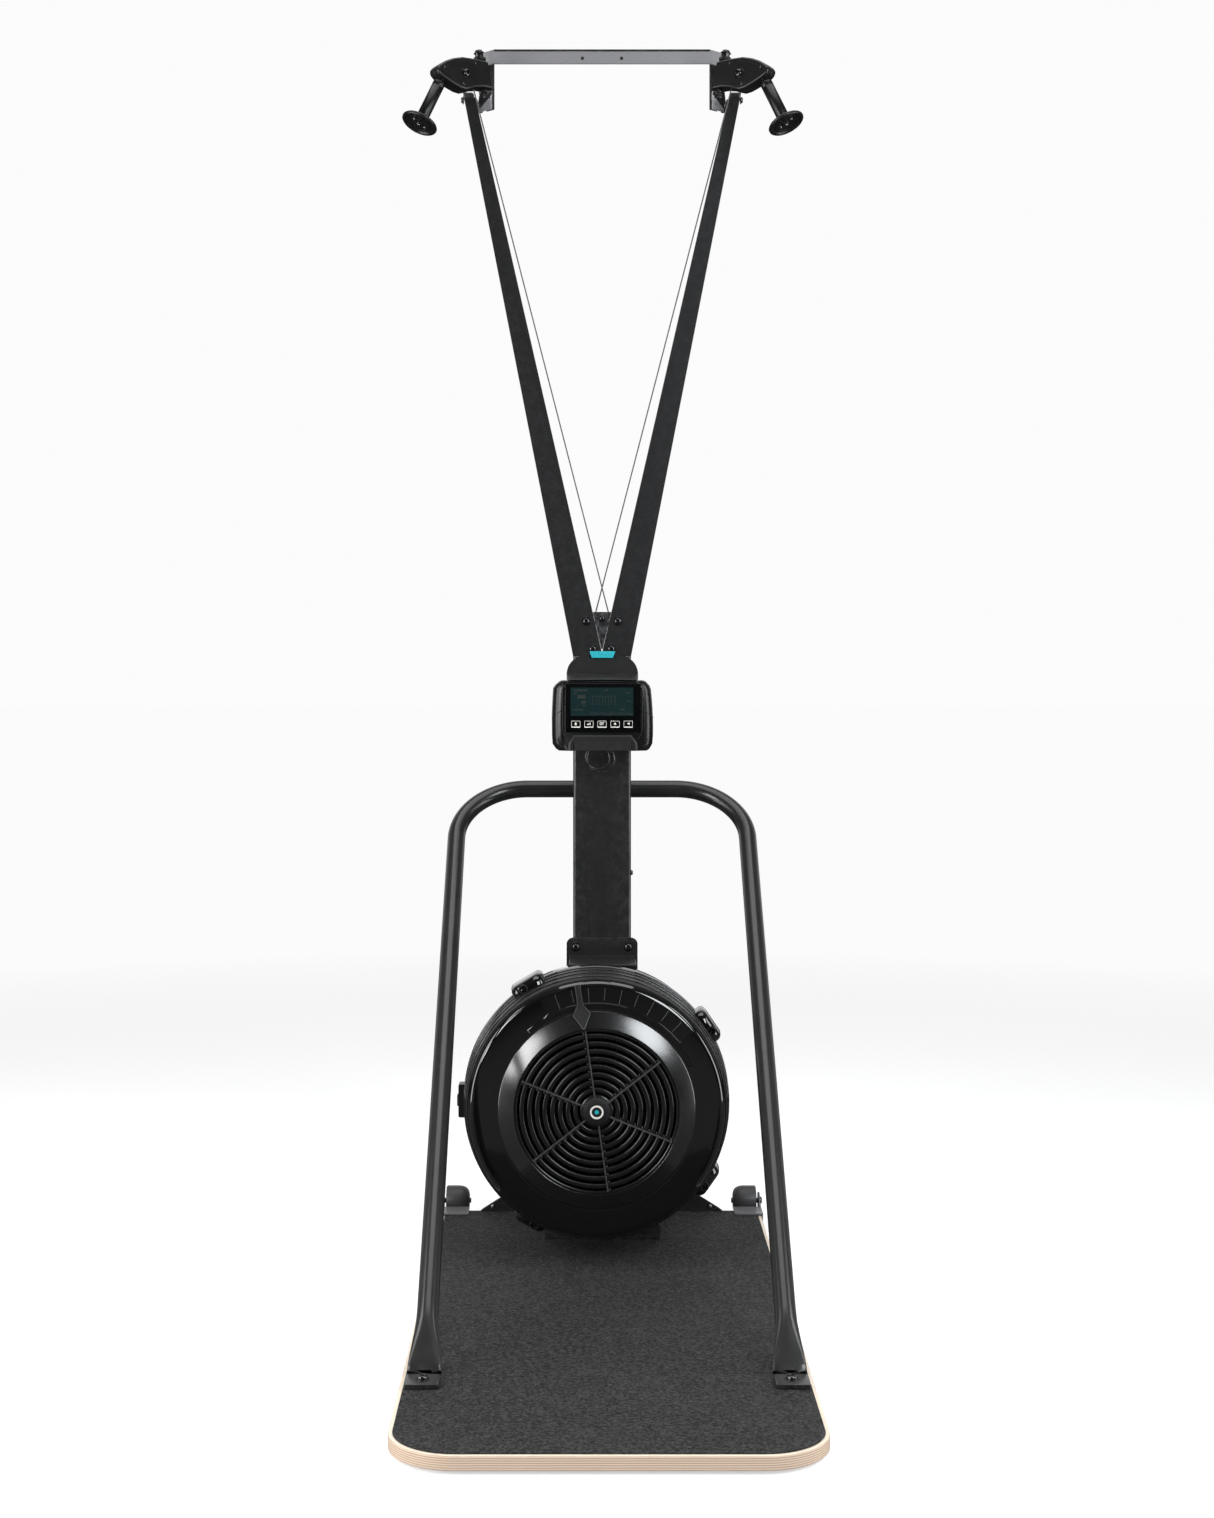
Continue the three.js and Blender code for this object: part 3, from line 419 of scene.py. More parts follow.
TYRE = moulded("tyre_rubber", 0.035, 0.36, 0.46, 700.0, 0.2, 0.06)
# A grey for painted highlights: the tick marks, the grille's spokes and the pointer's edges are lightened
# with it, standing in for light their edges catch.
EDGE_HIGHLIGHT_GREY = moulded("painted_edge_highlight_grey", 0.035, 0.4, 0.5, 1300.0, 0.1)
RUBBER = moulded("black_rubber", 0.012, 0.62, 0.8, 700.0, 0.4, 0.09)
FOAM = moulded("grip_rubber", 0.003, 0.33, 0.38, 900.0, 0.02, 0.0)
BIRCH = birch_ply()
GRIT = grit_deck()
ZINC = metal("zinc_plate", (0.42, 0.42, 0.43, 1), 0.28, 0.45)
BLACK_BOLT = metal("blackened_steel", (0.09, 0.09, 0.094, 1), 0.2, 0.3)
ALLOY = metal("turned_alloy", (0.62, 0.63, 0.65, 1), 0.2, 0.36, (1, 1, 12))
LINE = braided("braided_line", (0.09, 0.089, 0.087, 1), (0.055, 0.054, 0.053, 1), 2600.0)
LEAD = glossy("lead_jacket", 0.012, 0.2, 0.34)
LENS = lens("display_lens")
CRYSTAL = liquid_crystal()
SEGMENT = printed("display_segment", (0.0035, 0.008, 0.008, 1))
WHITE_PRINT = printed("pale_print", (0.72, 0.7, 0.66, 1))
CYAN = printed("cyan_insert", (0.003, 0.36, 0.42, 1))


# ---- forms ---------------------------------------------------------------------------------
class Form:
    """Gathers closed surfaces, drawn in millimetres, into one mesh."""

    def __init__(self):
        self.mesh = bmesh.new()

    def skin(self, rings, looped=False, capped=True):
        """Skins rings of points, each ring closed; looped joins the last ring to the first."""
        made = [[self.mesh.verts.new(p) for p in ring] for ring in rings]
        count = len(made[0])
        pairs = list(zip(made, made[1:] + made[:1])) if looped else list(zip(made, made[1:]))
        for a, b in pairs:
            for i in range(count):
                j = (i + 1) % count
                self.mesh.faces.new((a[i], a[j], b[j], b[i]))
        if capped and not looped:
            self.mesh.faces.new(made[0])
            self.mesh.faces.new(made[-1])
        return self

    def lathe(self, profile, origin=(0, 0, 0), axis=Y, steps=96, start=0.0):
        """Turns a closed profile of (radius, distance along the axis)."""
        e1, e2 = across(axis)
        rings = []
        for k in range(steps):
            turn = start + 2 * pi * k / steps
            out = e1 * cos(turn) + e2 * sin(turn)
            rings.append([Vector(origin) + out * r + Vector(axis) * t for r, t in profile])
        self.skin(rings, looped=True)
        return self

    def prism(self, outline, start, end, ea=X, eb=Z, along=Y, origin=(0, 0, 0)):
        def ring(depth):
            return [Vector(origin) + ea * a + eb * b + along * depth for a, b in outline]
        return self.skin([ring(start), ring(end)])

    def box(self, low, high):
        (x0, y0, z0), (x1, y1, z1) = low, high
        return self.prism([(x0, z0), (x1, z0), (x1, z1), (x0, z1)], y0, y1)

    def rod(self, a, b, radius, steps=24, end=None, chamfer=0.0):
        """A round bar from a to b; end is the far radius, and chamfer softens both ends."""
        a, b = Vector(a), Vector(b)
        length = (b - a).length
        axis = (b - a) / length
        end = radius if end is None else end
        stations = [(0, radius - chamfer), (chamfer, radius), (length - chamfer, end),
                    (length, end - chamfer)]
        stations = stations if chamfer else [(0, radius), (length, end)]
        e1, e2 = across(axis)
        rings = [[a + axis * t + (e1 * cos(q) + e2 * sin(q)) * r for q in circle(steps)] for t, r in stations]
        return self.skin(rings)

    def sweep(self, stations, sides=32):
        """Stations are (centre, along, up, half width, half thickness, squareness)."""
        rings = []
        for centre, along, up, wide, thick, square in stations:
            side = along.cross(up).normalized()
            ring = []
            for q in circle(sides, 0.5):
                c, s = cos(q), sin(q)
                ring.append(centre + side * wide * bent(c, square) + up * thick * bent(s, square))
            rings.append(ring)
        return self.skin(rings)

    def cord(self, points, radius, sides=12):
        """A round cord along points, with a frame that doesn't twist."""
        self.skin(cord_rings(points, radius, sides))
        return self

    def bolt(self, seat, axis, radius, height, washer=True, socket=True, spin=0.0):
        """A low button head on a washer, with a hexagon socket sunk in its crown."""
        seat, axis = Vector(seat), Vector(axis).normalized()
        if washer:
            self.rod(seat, seat + axis * 0.9, radius * 1.35, 28, chamfer=0.25)
            seat = seat + axis * 0.9
        crown = [(0.001, 0.0), (radius, 0.0), (radius, height * 0.35), (radius * 0.93, height * 0.66),
                 (radius * 0.78, height * 0.9), (radius * 0.6, height)]
        hexagon = radius * 0.46
        inner = [(hexagon * 1.08, height), (hexagon, height * 0.94), (hexagon, height * 0.35),
                 (0.001, height * 0.3)] if socket else [(0.001, height * 1.04)]
        e1, e2 = across(axis)
        rings = []
        for k in range(24):
            turn = 2 * pi * k / 24 + spin
            out = e1 * cos(turn) + e2 * sin(turn)
            flat = cos(pi / 6) / cos((turn % (pi / 3)) - pi / 6)
            ring = [seat + out * r + axis * t for r, t in crown]
            ring += [seat + out * (r * flat if r > 0.01 else r) + axis * t for r, t in inner]
            rings.append(ring)
        return self.skin(rings, looped=True)

    def make(self, name, material, body, nodes=(), slot=None, bevel=0.0, segments=2, sharp=32):
        """Turns the form into a piece that rides on a body and stands for CAD nodes."""
        bmesh.ops.remove_doubles(self.mesh, verts=self.mesh.verts, dist=1e-4)
        bmesh.ops.dissolve_degenerate(self.mesh, edges=self.mesh.edges, dist=1e-5)
        bmesh.ops.recalc_face_normals(self.mesh, faces=self.mesh.faces)
        bmesh.ops.scale(self.mesh, vec=(MM, MM, MM), verts=self.mesh.verts)
        data = bpy.data.meshes.new(name)
        self.mesh.to_mesh(data)
        self.mesh.free()
        return as_piece(name, data, material, body, nodes, bevel * MM, segments, sharp)


def as_piece(name, data, material, body, nodes=(), bevel=0.0, segments=2, sharp=32):
    piece = bpy.data.objects.new(name, data)
    scene.collection.objects.link(piece)
    data.materials.clear()
    data.materials.append(material)
    data.polygons.foreach_set("use_smooth", [True] * len(data.polygons))
    if bevel:
        rounder = piece.modifiers.new("rounded_edges", "BEVEL")
        rounder.width = bevel
        rounder.segments = segments
        rounder.limit_method = "ANGLE"
        rounder.angle_limit = radians(sharp)
        rounder.use_clamp_overlap = True
        piece.modifiers.new("even_shading", "WEIGHTED_NORMAL").keep_sharp = True
    else:
        data.set_sharp_from_angle(angle=radians(sharp))
    if body:
        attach(piece, body)
    if nodes:
        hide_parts(*nodes)
    return piece


def across(axis):
    """Two unit vectors square to an axis and to each other."""
    axis = Vector(axis).normalized()
    side = Z if abs(axis.z) < 0.9 else X
    e1 = axis.cross(side).normalized()
    return e1, axis.cross(e1).normalized()


def circle(steps, phase=0.0):
    return [2 * pi * (k + phase) / steps for k in range(steps)]


def bent(value, square):
    """Bends a cosine or sine towards a square: 1 keeps it round."""
    return (1 if value > 0 else -1) * abs(value) ** (1 / square)


def arc(cx, cz, radius, start, stop, steps=8):
    """Points on an arc, in degrees."""
    return [(cx + radius * cos(radians(start + (stop - start) * k / steps)),
             cz + radius * sin(radians(start + (stop - start) * k / steps))) for k in range(steps + 1)]


def rounded(x0, x1, z0, z1, radii, steps=8):
    """A rectangle with its own radius at each corner, from the lower left round by the lower right."""
    a, b, c, d = radii
    return (arc(x0 + a, z0 + a, a, 180, 270, steps) + arc(x1 - b, z0 + b, b, 270, 360, steps)
            + arc(x1 - c, z1 - c, c, 0, 90, steps) + arc(x0 + d, z1 - d, d, 90, 180, steps))


def smooth_line(points, per=8):
    """Points of a Catmull-Rom curve through the given ones."""
    points = [Vector(p) for p in points]
    padded = [points[0] * 2 - points[1]] + points + [points[-1] * 2 - points[-2]]
    line = []
    for i in range(1, len(padded) - 2):
        p0, p1, p2, p3 = padded[i - 1:i + 3]
        for k in range(per):
            t = k / per
            line.append(0.5 * ((2 * p1) + (p2 - p0) * t + (2 * p0 - 5 * p1 + 4 * p2 - p3) * t * t
                               + (3 * p1 - p0 - 3 * p2 + p3) * t ** 3))
    return line + [points[-1]]


def cord_rings(points, radius, sides):
    points = [Vector(p) for p in points]
    rings = []
    up = None
    for i, point in enumerate(points):
        before, after = points[max(i - 1, 0)], points[min(i + 1, len(points) - 1)]
        along = (after - before).normalized()
        if up is None:
            up = across(along)[0]
        up = (up - along * up.dot(along)).normalized()
        side = along.cross(up)
        rings.append([point + (up * cos(q) + side * sin(q)) * radius for q in circle(sides)])
    return rings


def refined(cad_node, material, bevel, name=None, segments=2, sharp=32):
    """A copy of a CAD node's own mesh with softened edges, in place of the node."""
    data = frame["nodes"][cad_node].data.copy()
    data.name = name or cad_node + "_body"
    work = bmesh.new()
    work.from_mesh(data)
    bmesh.ops.remove_doubles(work, verts=work.verts, dist=1e-6)
    bmesh.ops.dissolve_limit(work, angle_limit=radians(0.8), verts=work.verts, edges=work.edges,
                             use_dissolve_boundaries=False)
    work.to_mesh(data)
    work.free()
    return as_piece(data.name, data, material, BODY_OF[cad_node], (cad_node,), bevel * MM, segments,
                    sharp)


# ---- cords ---------------------------------------------------------------------------------
CORD_RADIUS = 1.25
LEAD_RADIUS = 1.35
PULLEY_GROOVE = 19
PULLEY_CLEARANCE = 0.7
DRUM_RADIUS = 30
DRUM_CLEARANCE = 0.3
THROAT_X = 11.5
THROAT_Y = {"left": 470, "right": 474.5}
GUSSET_TOP = corners("arm_gusset")[1].z


class Head:
    """One pulley head: u runs from the swivel pin to the tip, w up the pin, n across the plates."""

    yaw = radians(40)
    thick = 28.0
    mouth_x, mouth_y, mouth_z = 290, 336, 2094
    grip_start = -7.5

    def __init__(self, side, s):
        self.side, self.s = side, s
        swivel = JOINTS[f"head_swivel_{side}"]
        self.pin_low = Vector(swivel["pos_m"]) / MM
        lean = Vector(swivel["axis"]) * s
        self.w = lean / lean.z
        self.u = Vector((s * cos(self.yaw), -sin(self.yaw), 0))
        self.n = self.u.cross(self.w).normalized()
        self.rise = self.n.cross(self.u)
        self.pulley = Vector(JOINTS[f"top_pulley_spin_{side}"]["pos_m"]) / MM
        self.origin = self.pin_at(self.pulley.z)
        self.pull = Vector(JOINTS[f"handle_pull_{side}"]["axis"]).normalized()
        self.grip_top = Vector((s * self.mouth_x, self.mouth_y, self.mouth_z)) + self.pull * self.grip_start

    def pin_at(self, z):
        return self.pin_low + self.w * (z - self.pin_low.z)

    def point(self, u, w, n=0.0):
        return self.origin + self.u * u + self.w * w + self.n * n

    def on_pulley(self, angle, radius):
        return self.pulley + (self.u * cos(angle) + self.rise * sin(angle)) * radius


HEADS = [Head(side, s) for side, s in SIDES]


def make_cords(head):
    """The handle's cord round its pulley, and the drive cord down through the throat to its drum."""
    wrap = PULLEY_GROOVE + CORD_RADIUS + PULLEY_CLEARANCE
    aim = head.grip_top - head.pulley
    leave = atan2(aim.dot(head.rise), aim.dot(head.u)) + acos(wrap / aim.length)
    turns = [head.on_pulley(pi + (leave - pi) * k / 18, wrap) for k in range(19)]
    last = turns[-1]
    run = [last.lerp(head.grip_top, k / 60) for k in range(1, 61)]
    handle = Form().cord(turns + run, CORD_RADIUS, 10).make(
        f"handle_line_{head.side}", LINE, None, (f"handle_cord_{head.side}",))
    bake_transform(handle)

    throat = Vector((-head.s * THROAT_X, THROAT_Y[head.side], GUSSET_TOP))
    shaft = Vector(JOINTS[f"drum_spin_{head.side}"]["pos_m"]) / MM
    drum = shaft + Vector((-head.s * (DRUM_RADIUS + CORD_RADIUS + DRUM_CLEARANCE), 0, 0))
    start = turns[0]
    upper = [start.lerp(throat, k / 40) for k in range(41)]
    lower = [throat.lerp(drum, k / 12) for k in range(1, 13)]
    drive = Form().cord(upper + lower, CORD_RADIUS, 10).make(
        f"drive_line_{head.side}", LINE, None, (f"drive_cord_{head.side}",))
    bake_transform(drive)


def lead_route():
    """From the console's back, through two hanging loops, into the column's front."""
    route = [Vector((-14, 407.3, 925)), Vector((-14.2, 411, 925)), Vector((-22, 414.5, 919))]
    for i in range(21):
        angle = radians(165 + i * 32)
        second = i / 20
        radius = 19 + 6 * second
        route.append(Vector((-11 + 11 * second + radius * cos(angle), 416 + 30 * second,
                             894 - 7 * second + radius * sin(angle))))
    route += [Vector((12, 453, 924.5)), Vector((12, 459.7, 925))]
    return smooth_line(route, 7)


def make_lead():
    line = lead_route()
    lead = Form().cord(line, LEAD_RADIUS, 12).make("console_lead_jacket", LEAD, None, ("console_lead",))
    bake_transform(lead)


for head in HEADS:
    make_cords(head)
make_lead()


# ---- platform ------------------------------------------------------------------------------
def make_platform():
    low, high = corners("plywood_board")
    front, rear, inset = 95, 20, 6
    board = rounded(low.x, high.x, low.y, high.y, (front, front, rear, rear), 24)
    Form().prism(board, low.z, high.z, X, Y, Z).make(
        "birch_board", BIRCH, "frame", ("plywood_board",), bevel=1.6, segments=3)
    low, high = corners("grip_mat")
    deck = rounded(low.x, high.x, low.y, high.y, (front - inset, front - inset, rear - inset, rear - inset),
                   24)
    Form().prism(deck, low.z, high.z, X, Y, Z).make("grit_sheet", GRIT, "frame", ("grip_mat",), bevel=0.7)
    for end in ("front", "rear"):
        for side, _ in SIDES:
            low, high = corners(f"rubber_foot_{end}_{side}")
            centre = (low + high) / 2
            profile = [(0.01, low.z), (19.5, low.z), (21.2, low.z + 0.7), (22, low.z + 2), (21.4, high.z),
                       (0.01, high.z)]
            Form().lathe(profile, (centre.x, centre.y, 0), Z, 48).make(
                f"foot_pad_{end}_{side}", RUBBER, "frame", (f"rubber_foot_{end}_{side}",))


def make_wheels():
    for side, s in SIDES:
        refined(f"wheel_bracket_{side}", DARK_COAT, 0.9)
        centre = Vector(JOINTS[f"wheel_spin_{side}"]["pos_m"]) / MM
        profile = [(5.4, -20), (9, -21.4), (14, -21.8), (19, -20.6), (23.5, -17.2), (26.6, -11.5),
                   (27.7, -6.5),
                   (28, -1), (28, 19.4), (27.5, 20.8), (26, 21.8), (20, 22), (19, 20.5), (9, 20.5), (8.6, 22),
                   (5.4, 22)]
        Form().lathe(profile, centre, X * s, 64).make(
            f"wheel_tyre_{side}", TYRE, f"wheel_{side}", (f"transport_wheel_{side}",))
        hub = Form()
        for k in range(5):
            turn = 2 * pi * k / 5
            out = Y * cos(turn) + Z * sin(turn)
            hub.rod(centre + out * 9 + X * s * 20.2, centre + out * 18.7 + X * s * 20.2, 1.1, 10)
        hub.make(f"wheel_ribs_{side}", RUBBER, f"wheel_{side}", slot="rubber")
        outer = corners(f"wheel_bracket_{side}")[1 if s > 0 else 0].x
        nut = Form().bolt((outer, centre.y, centre.z), X * s, 7, 3.6, spin=0.3)
        nut.make(f"wheel_bracket_bolts_{side}", BLACK_BOLT, "frame", slot="steel")


# ---- mast ----------------------------------------------------------------------------------
def make_mast():
    refined("mast_column", FRAME_COAT, 0.6, sharp=50)
    refined("mast_foot_bracket", FRAME_COAT, 0.8)
    refined("rear_brace_plate", FRAME_COAT, 0.8)
    for side, s in SIDES:
        refined(f"arm_{side}", FRAME_COAT, 4.0, segments=5)
        cap = [(s * 232.6, 2096), (s * 252.6, 2096), (s * 255.3, 2110), (s * 235.8, 2110)]
        Form().prism(cap if s > 0 else cap[::-1], 460, 510).make(
            f"arm_end_{side}", FRAME_COAT, "frame", slot="frame_paint", bevel=3.2)
    refined("arm_gusset", FRAME_COAT, 1.2, segments=3)
    # The crossbar takes the grey of painted reflection.
    refined("top_crossbar", BAR_COAT, 0.7, sharp=50)
    refined("fan_top_bracket", FRAME_COAT, 0.9, sharp=50)
    face = corners("arm_gusset")[0].y
    bolts = Form()
    for x, z, radius in ((-29, 1141, 6), (29, 1141, 6), (0, 1146, 4.4), (-17, 1090, 6), (17, 1090, 6)):
        bolts.bolt((x, face, z), -Y, radius, radius * 0.62)
    low, high = corners("mast_column")
    bolts.bolt((high.x, 498, 677), X, 4.5, 3.4)
    for s in (-1, 1):
        bolts.bolt((s * 48, corners("fan_top_bracket")[1].y - 3.2, 545), -Y, 6.4, 4)
        bolts.bolt((s * 254.4, 485, 2101), X * s, 6, 4.2)
        bolts.bolt((s * 36, corners("mast_column")[1].y, 1050), Y, 6, 3.8)
    bolts.make("mast_bolts", BLACK_BOLT, "frame", slot="steel")
    brace = corners("rear_brace_plate")[1].y - 4
    screws = Form()
    for s in (-1, 1):
        screws.bolt((s * 205, brace, 38), -Y, 3.6, 2.6, washer=False)
    screws.make("brace_screws", ZINC, "frame", slot="steel")
    # Painted shade: a dark strip along the crossbar's top front edge stands in for the shade on that edge.
    edge = Form().box((-199, 479.8, 2189.6), (199, 486, 2193.4))
    edge.make("crossbar_top_painted_shade", FRAME_COAT, "frame", slot="frame_paint", bevel=0.5)
    plugs = Form()
    bar = corners("top_crossbar")
    for s in (-1, 1):
        plugs.rod((s * 36, bar[0].y - 0.1, 2177), (s * 36, bar[0].y + 1.6, 2177), 3.4, 24, chamfer=0.3)
    plugs.make("crossbar_hole_plugs", FRAME_COAT, "frame", slot="frame_paint")
    # Thin tabs in pale painted reflection.
    for side, s in SIDES:
        tab = [(s * 203, 489.6), (s * 228.4, 515), (s * 228, 515.4), (s * 202.6, 490)]
        if s < 0:
            tab = tab[::-1]
        Form().prism(tab, 2085.4, 2119, X, Y, Z).make(
            f"bracket_tab_{side}", TAB_PAINTED_REFLECTION, "frame", slot="frame_paint", bevel=0.12)
    seam = Form()
    seam.box((low.x - 0.25, low.y - 0.25, high.z - 1.4), (high.x + 0.25, high.y + 0.25, high.z + 0.1))
    seam.make("column_weld_line", FRAME_COAT, "frame", slot="frame_paint", bevel=0.2)


def make_stand_tube():
    radius, bend, half, top_y, top_z, foot_y = 16, 128, 266.5, 557, 828, -370
    foot_z = corners("stand_tube")[0].z + 3.5
    down = Vector((0, foot_y - top_y, foot_z - top_z))
    length = down.length
    down.normalize()
    up = Vector((0, -down.z, down.y))

    def spot(x, run):
        return Vector((x, top_y, top_z)) + down * run

    stations = []
    for k in range(25):
        turn = k / 24 * pi / 2
        centre = spot(half - bend + bend * sin(turn), bend - bend * cos(turn))
        stations.append((centre, X * cos(turn) + down * sin(turn), up, radius, radius, 1))
    stations += [(spot(half, run), down, up, radius, radius, 1) for run in (400, 800, length - 110)]
    flare = ((88, 16.6, 15.2, 1.0), (70, 18.4, 12.8, 1.1), (52, 20.6, 10, 1.3), (34, 22.8, 7.4, 1.6),
             (18, 24.4, 5.6, 2.2))
    stations += [(spot(half, length - back), down, up, wide, thick, square) for back, wide, thick,
                 square in flare]
    level = -Y
    flat = ((4, 25, 4.6, 3.0), (-6, 25, 3.9, 5.0), (-14, 25, 3.5, 8.0), (-48, 25, 3.5, 8.0),
            (-52, 24.3, 3.0, 8.0))
    for back, wide, thick, square in flat:
        slope = (down + level).normalized() if back > 0 else level
        lift = Vector((0, -slope.z, slope.y)) if back > 0 else Z
        stations.append((Vector((half, foot_y + back, foot_z + max(back, 0) * 0.6)), slope, lift, wide, thick,
                         square))

    def mirrored(station):
        centre, along, lift, wide, thick, square = station
        return (Vector((-centre.x, centre.y, centre.z)), Vector((along.x, -along.y, -along.z)), lift, wide,
                thick,
                square)

    whole = [mirrored(station) for station in reversed(stations)] + stations
    Form().sweep(whole, 40).make("stand_tube_body", FRAME_COAT, "frame", ("stand_tube",), sharp=40)
    refined("stand_clamp", FRAME_COAT, 1.4, segments=3)
    bolts = Form()
    for s in (-1, 1):
        bolts.bolt((s * half, foot_y - 27, foot_z + 3.4), Z, 8, 5.2, spin=0.2)
        clamp = corners("stand_clamp")
        for z in (clamp[0].z + 7, clamp[1].z - 7):
            bolts.bolt((s * 24, clamp[1].y, z), Y, 5, 3.4)
    bolts.make("stand_tube_bolts", BLACK_BOLT, "frame", slot="steel")


# ---- pulley heads --------------------------------------------------------------------------
HOUSING_OUTLINE = [(-8, 31), (0, 32), (26, 31.8), (50, 30.5), (71.5, 24.8), (88, 18), (99, 11.8), (107, 6.4),
                   (111.5, 1.4), (112.4, -3), (111, -8), (107, -12.6), (97, -17.8), (84, -23.2), (68, -28.6),
                   (55, -30),
                   (43, -26.4), (32, -22), (13, -18.3), (-7.6, -18)]


def shrunk(outline, inset):
    """The outline moved inwards by an inset, square to each side."""
    moved = []
    for i, (a, b) in enumerate(outline):
        (pa, pb), (na, nb) = outline[i - 1], outline[(i + 1) % len(outline)]
        before, after = Vector((a - pa, b - pb)).normalized(), Vector((na - a, nb - b)).normalized()
        inward = Vector((before.y + after.y, -before.x - after.x)).normalized()
        widen = 1 / max(0.5, sqrt((1 + before.dot(after)) / 2))
        moved.append((a + inward.x * inset * widen, b + inward.y * inset * widen))
    return moved


def make_head(head):
    side, body = head.side, f"head_{head.side}"
    half = head.thick / 2

    def ring(inset, depth):
        return [head.point(a, b, depth) for a, b in shrunk(HOUSING_OUTLINE, inset)]

    # The shell is two dished plates that meet on a seam, with rounded shoulders.
    shell = Form()
    shoulder = [(4.2, half), (1.6, half - 0.8), (0.4, half - 2.4), (0, half - 5), (0, 0.5), (0.5, 0.25),
                (0.5, -0.25),
                (0, -0.5), (0, 5 - half), (0.4, 2.4 - half), (1.6, 0.8 - half), (4.2, -half)]
    shell.skin([ring(inset, depth) for inset, depth in shoulder])
    for face in (-1, 1):
        raised = [head.point(a, b, face * half) for a, b in shrunk(HOUSING_OUTLINE, 7.5)]
        top = [p + head.n * face * 0.7 for p in raised]
        base = [p - head.n * face * 0.4 for p in raised]
        shell.skin([base, top])
    for z0, z1, radius in ((-16, 35, 9.0), (-16.1, -11.5, 9.9), (30.5, 35.1, 9.9)):
        z = head.pulley.z
        shell.rod(head.pin_at(z + z0), head.pin_at(z + z1), radius, 40, chamfer=0.6)
    shell.make(f"head_shell_{side}", SMOOTH_PLASTIC, body, (f"pulley_housing_{side}",), bevel=0.5, sharp=40)

    trim = Form()
    collar = head.grip_top - head.pull * 3
    inside = 7.4
    trim.lathe([(5.6, -5), (inside, -5), (inside, 2.6), (inside - 0.6, 3.0), (5.6, 3.0)], collar, head.pull,
               40)
    trim.make(f"head_bumper_{side}", RUBBER, body, slot="rubber")

    fixings = Form()
    for face in (-1, 1):
        fixings.bolt(head.pulley + head.n * face * (half + 0.7), head.n * face, 7.2, 4.6)
    fixings.rod(head.pulley - head.n * (half + 1), head.pulley + head.n * (half + 1), 4, 20)
    fixings.make(f"pulley_bolt_{side}", BLACK_BOLT, body, (f"pulley_axle_{side}",))
    screws = Form()
    for u, w in ((24, 22), (96, 4), (60, -20)):
        screws.bolt(head.point(u, w, -half - 0.5), -head.n, 2.6, 1.4, washer=False)
        screws.bolt(head.point(u, w, half + 0.5), head.n, 2.6, 1.4, washer=False)
    screws.make(f"head_screws_{side}", BLACK_BOLT, body, slot="steel")

    wheel = [(4.3, -6), (9, -6), (9.6, -5), (19, -4.6), (21.5, -6), (23, -6), (23, -4.2), (20.4, -2.2),
             (19.2, -1.2),
             (19, 0), (19.2, 1.2), (20.4, 2.2), (23, 4.2), (23, 6), (21.5, 6), (19, 4.6), (9.6, 5), (9, 6),
             (4.3, 6)]
    Form().lathe(wheel, head.pulley, head.n, 72).make(
        f"grooved_pulley_{side}", ALLOY, f"pulley_{side}", (f"top_pulley_{side}",))

    refined(f"top_bracket_{side}", FRAME_COAT, 0.7, sharp=40)
    pin = Form()
    pin.rod(head.pin_at(2086), head.pin_at(2170), 4, 24)
    pin.rod(head.pin_at(2158.3), head.pin_at(2165), 7.6, 28, chamfer=0.5)
    pin.bolt(head.pin_at(2165), head.w, 7.2, 5.0)
    pin.rod(head.pin_at(2091.2), head.pin_at(2090.2), 8.6, 28, chamfer=0.25)
    pin.rod(head.pin_at(2090.2), head.pin_at(2084.2), 7.2, 6)
    pin.make(f"swivel_bolt_{side}", BLACK_BOLT, "frame", (f"swivel_pin_{side}",), bevel=0.4)


def make_handle(head):
    side, body = head.side, f"handle_{head.side}"
    pull, top = head.pull, head.grip_top
    length = 91.5
    hidden = 8.0
    profile = [(3.0, 0), (hidden, 0), (hidden, 4), (10.4, 7), (11, 9)]
    for groove in (17, 84):
        profile += [(11.0, groove - 1.4), (10.5, groove - 0.8), (10.5, groove + 0.8), (11.0, groove + 1.4)]
    profile += [(11.0, length), (3.0, length)]
    Form().lathe(profile, top, pull, 56).make(
        f"grip_sleeve_{side}", FOAM, body, (f"handle_grip_{side}",), sharp=60)

    base = top + pull * (length + 0.3)
    disc = [(1, 0), (12, 0), (14, 1.2), (28, 1.2), (31.6, 1.9), (33, 3.8), (32.6, 6.2), (31, 7.7), (28.6, 8),
            (27, 7.4),
            (26.2, 6.2), (25.6, 5.0), (24.6, 4.6), (1, 4.6)]
    Form().lathe(disc, base, pull, 96).make(f"end_disc_{side}", SMOOTH_PLASTIC, body,
                                            (f"handle_flange_{side}",), sharp=50)

    # The end of the disc: a strap bar across the recess, a knot cover and two small screws.
    e1 = (head.n - pull * head.n.dot(pull)).normalized()
    e2 = pull.cross(e1)
    floor = base + pull * 4.6
    bar = Form()
    bar.prism([(-25.5, -2.2), (25.5, -2.2), (25.5, 2.2), (-25.5, 2.2)], 0, 1.7, e1, e2, pull, floor)
    bar.lathe([(0.01, 0), (6.4, 0), (6.0, 2.2), (4.6, 3.2), (0.01, 3.5)], floor, pull, 32)
    bar.lathe([(19.2, 0), (21, 0), (20.8, 0.9), (19.4, 0.9)], floor, pull, 64)
    bar.make(f"disc_crossbar_{side}", SMOOTH_PLASTIC, body, slot="black_plastic", bevel=0.3)
    screws = Form()
    for s in (-1, 1):
        screws.bolt(floor + e2 * s * 12.5, pull, 2.4, 1.5, washer=False)
    screws.bolt(floor + pull * 3.3, pull, 2.6, 1.2, washer=False)
    screws.make(f"disc_screws_{side}", ZINC, body, slot="steel")


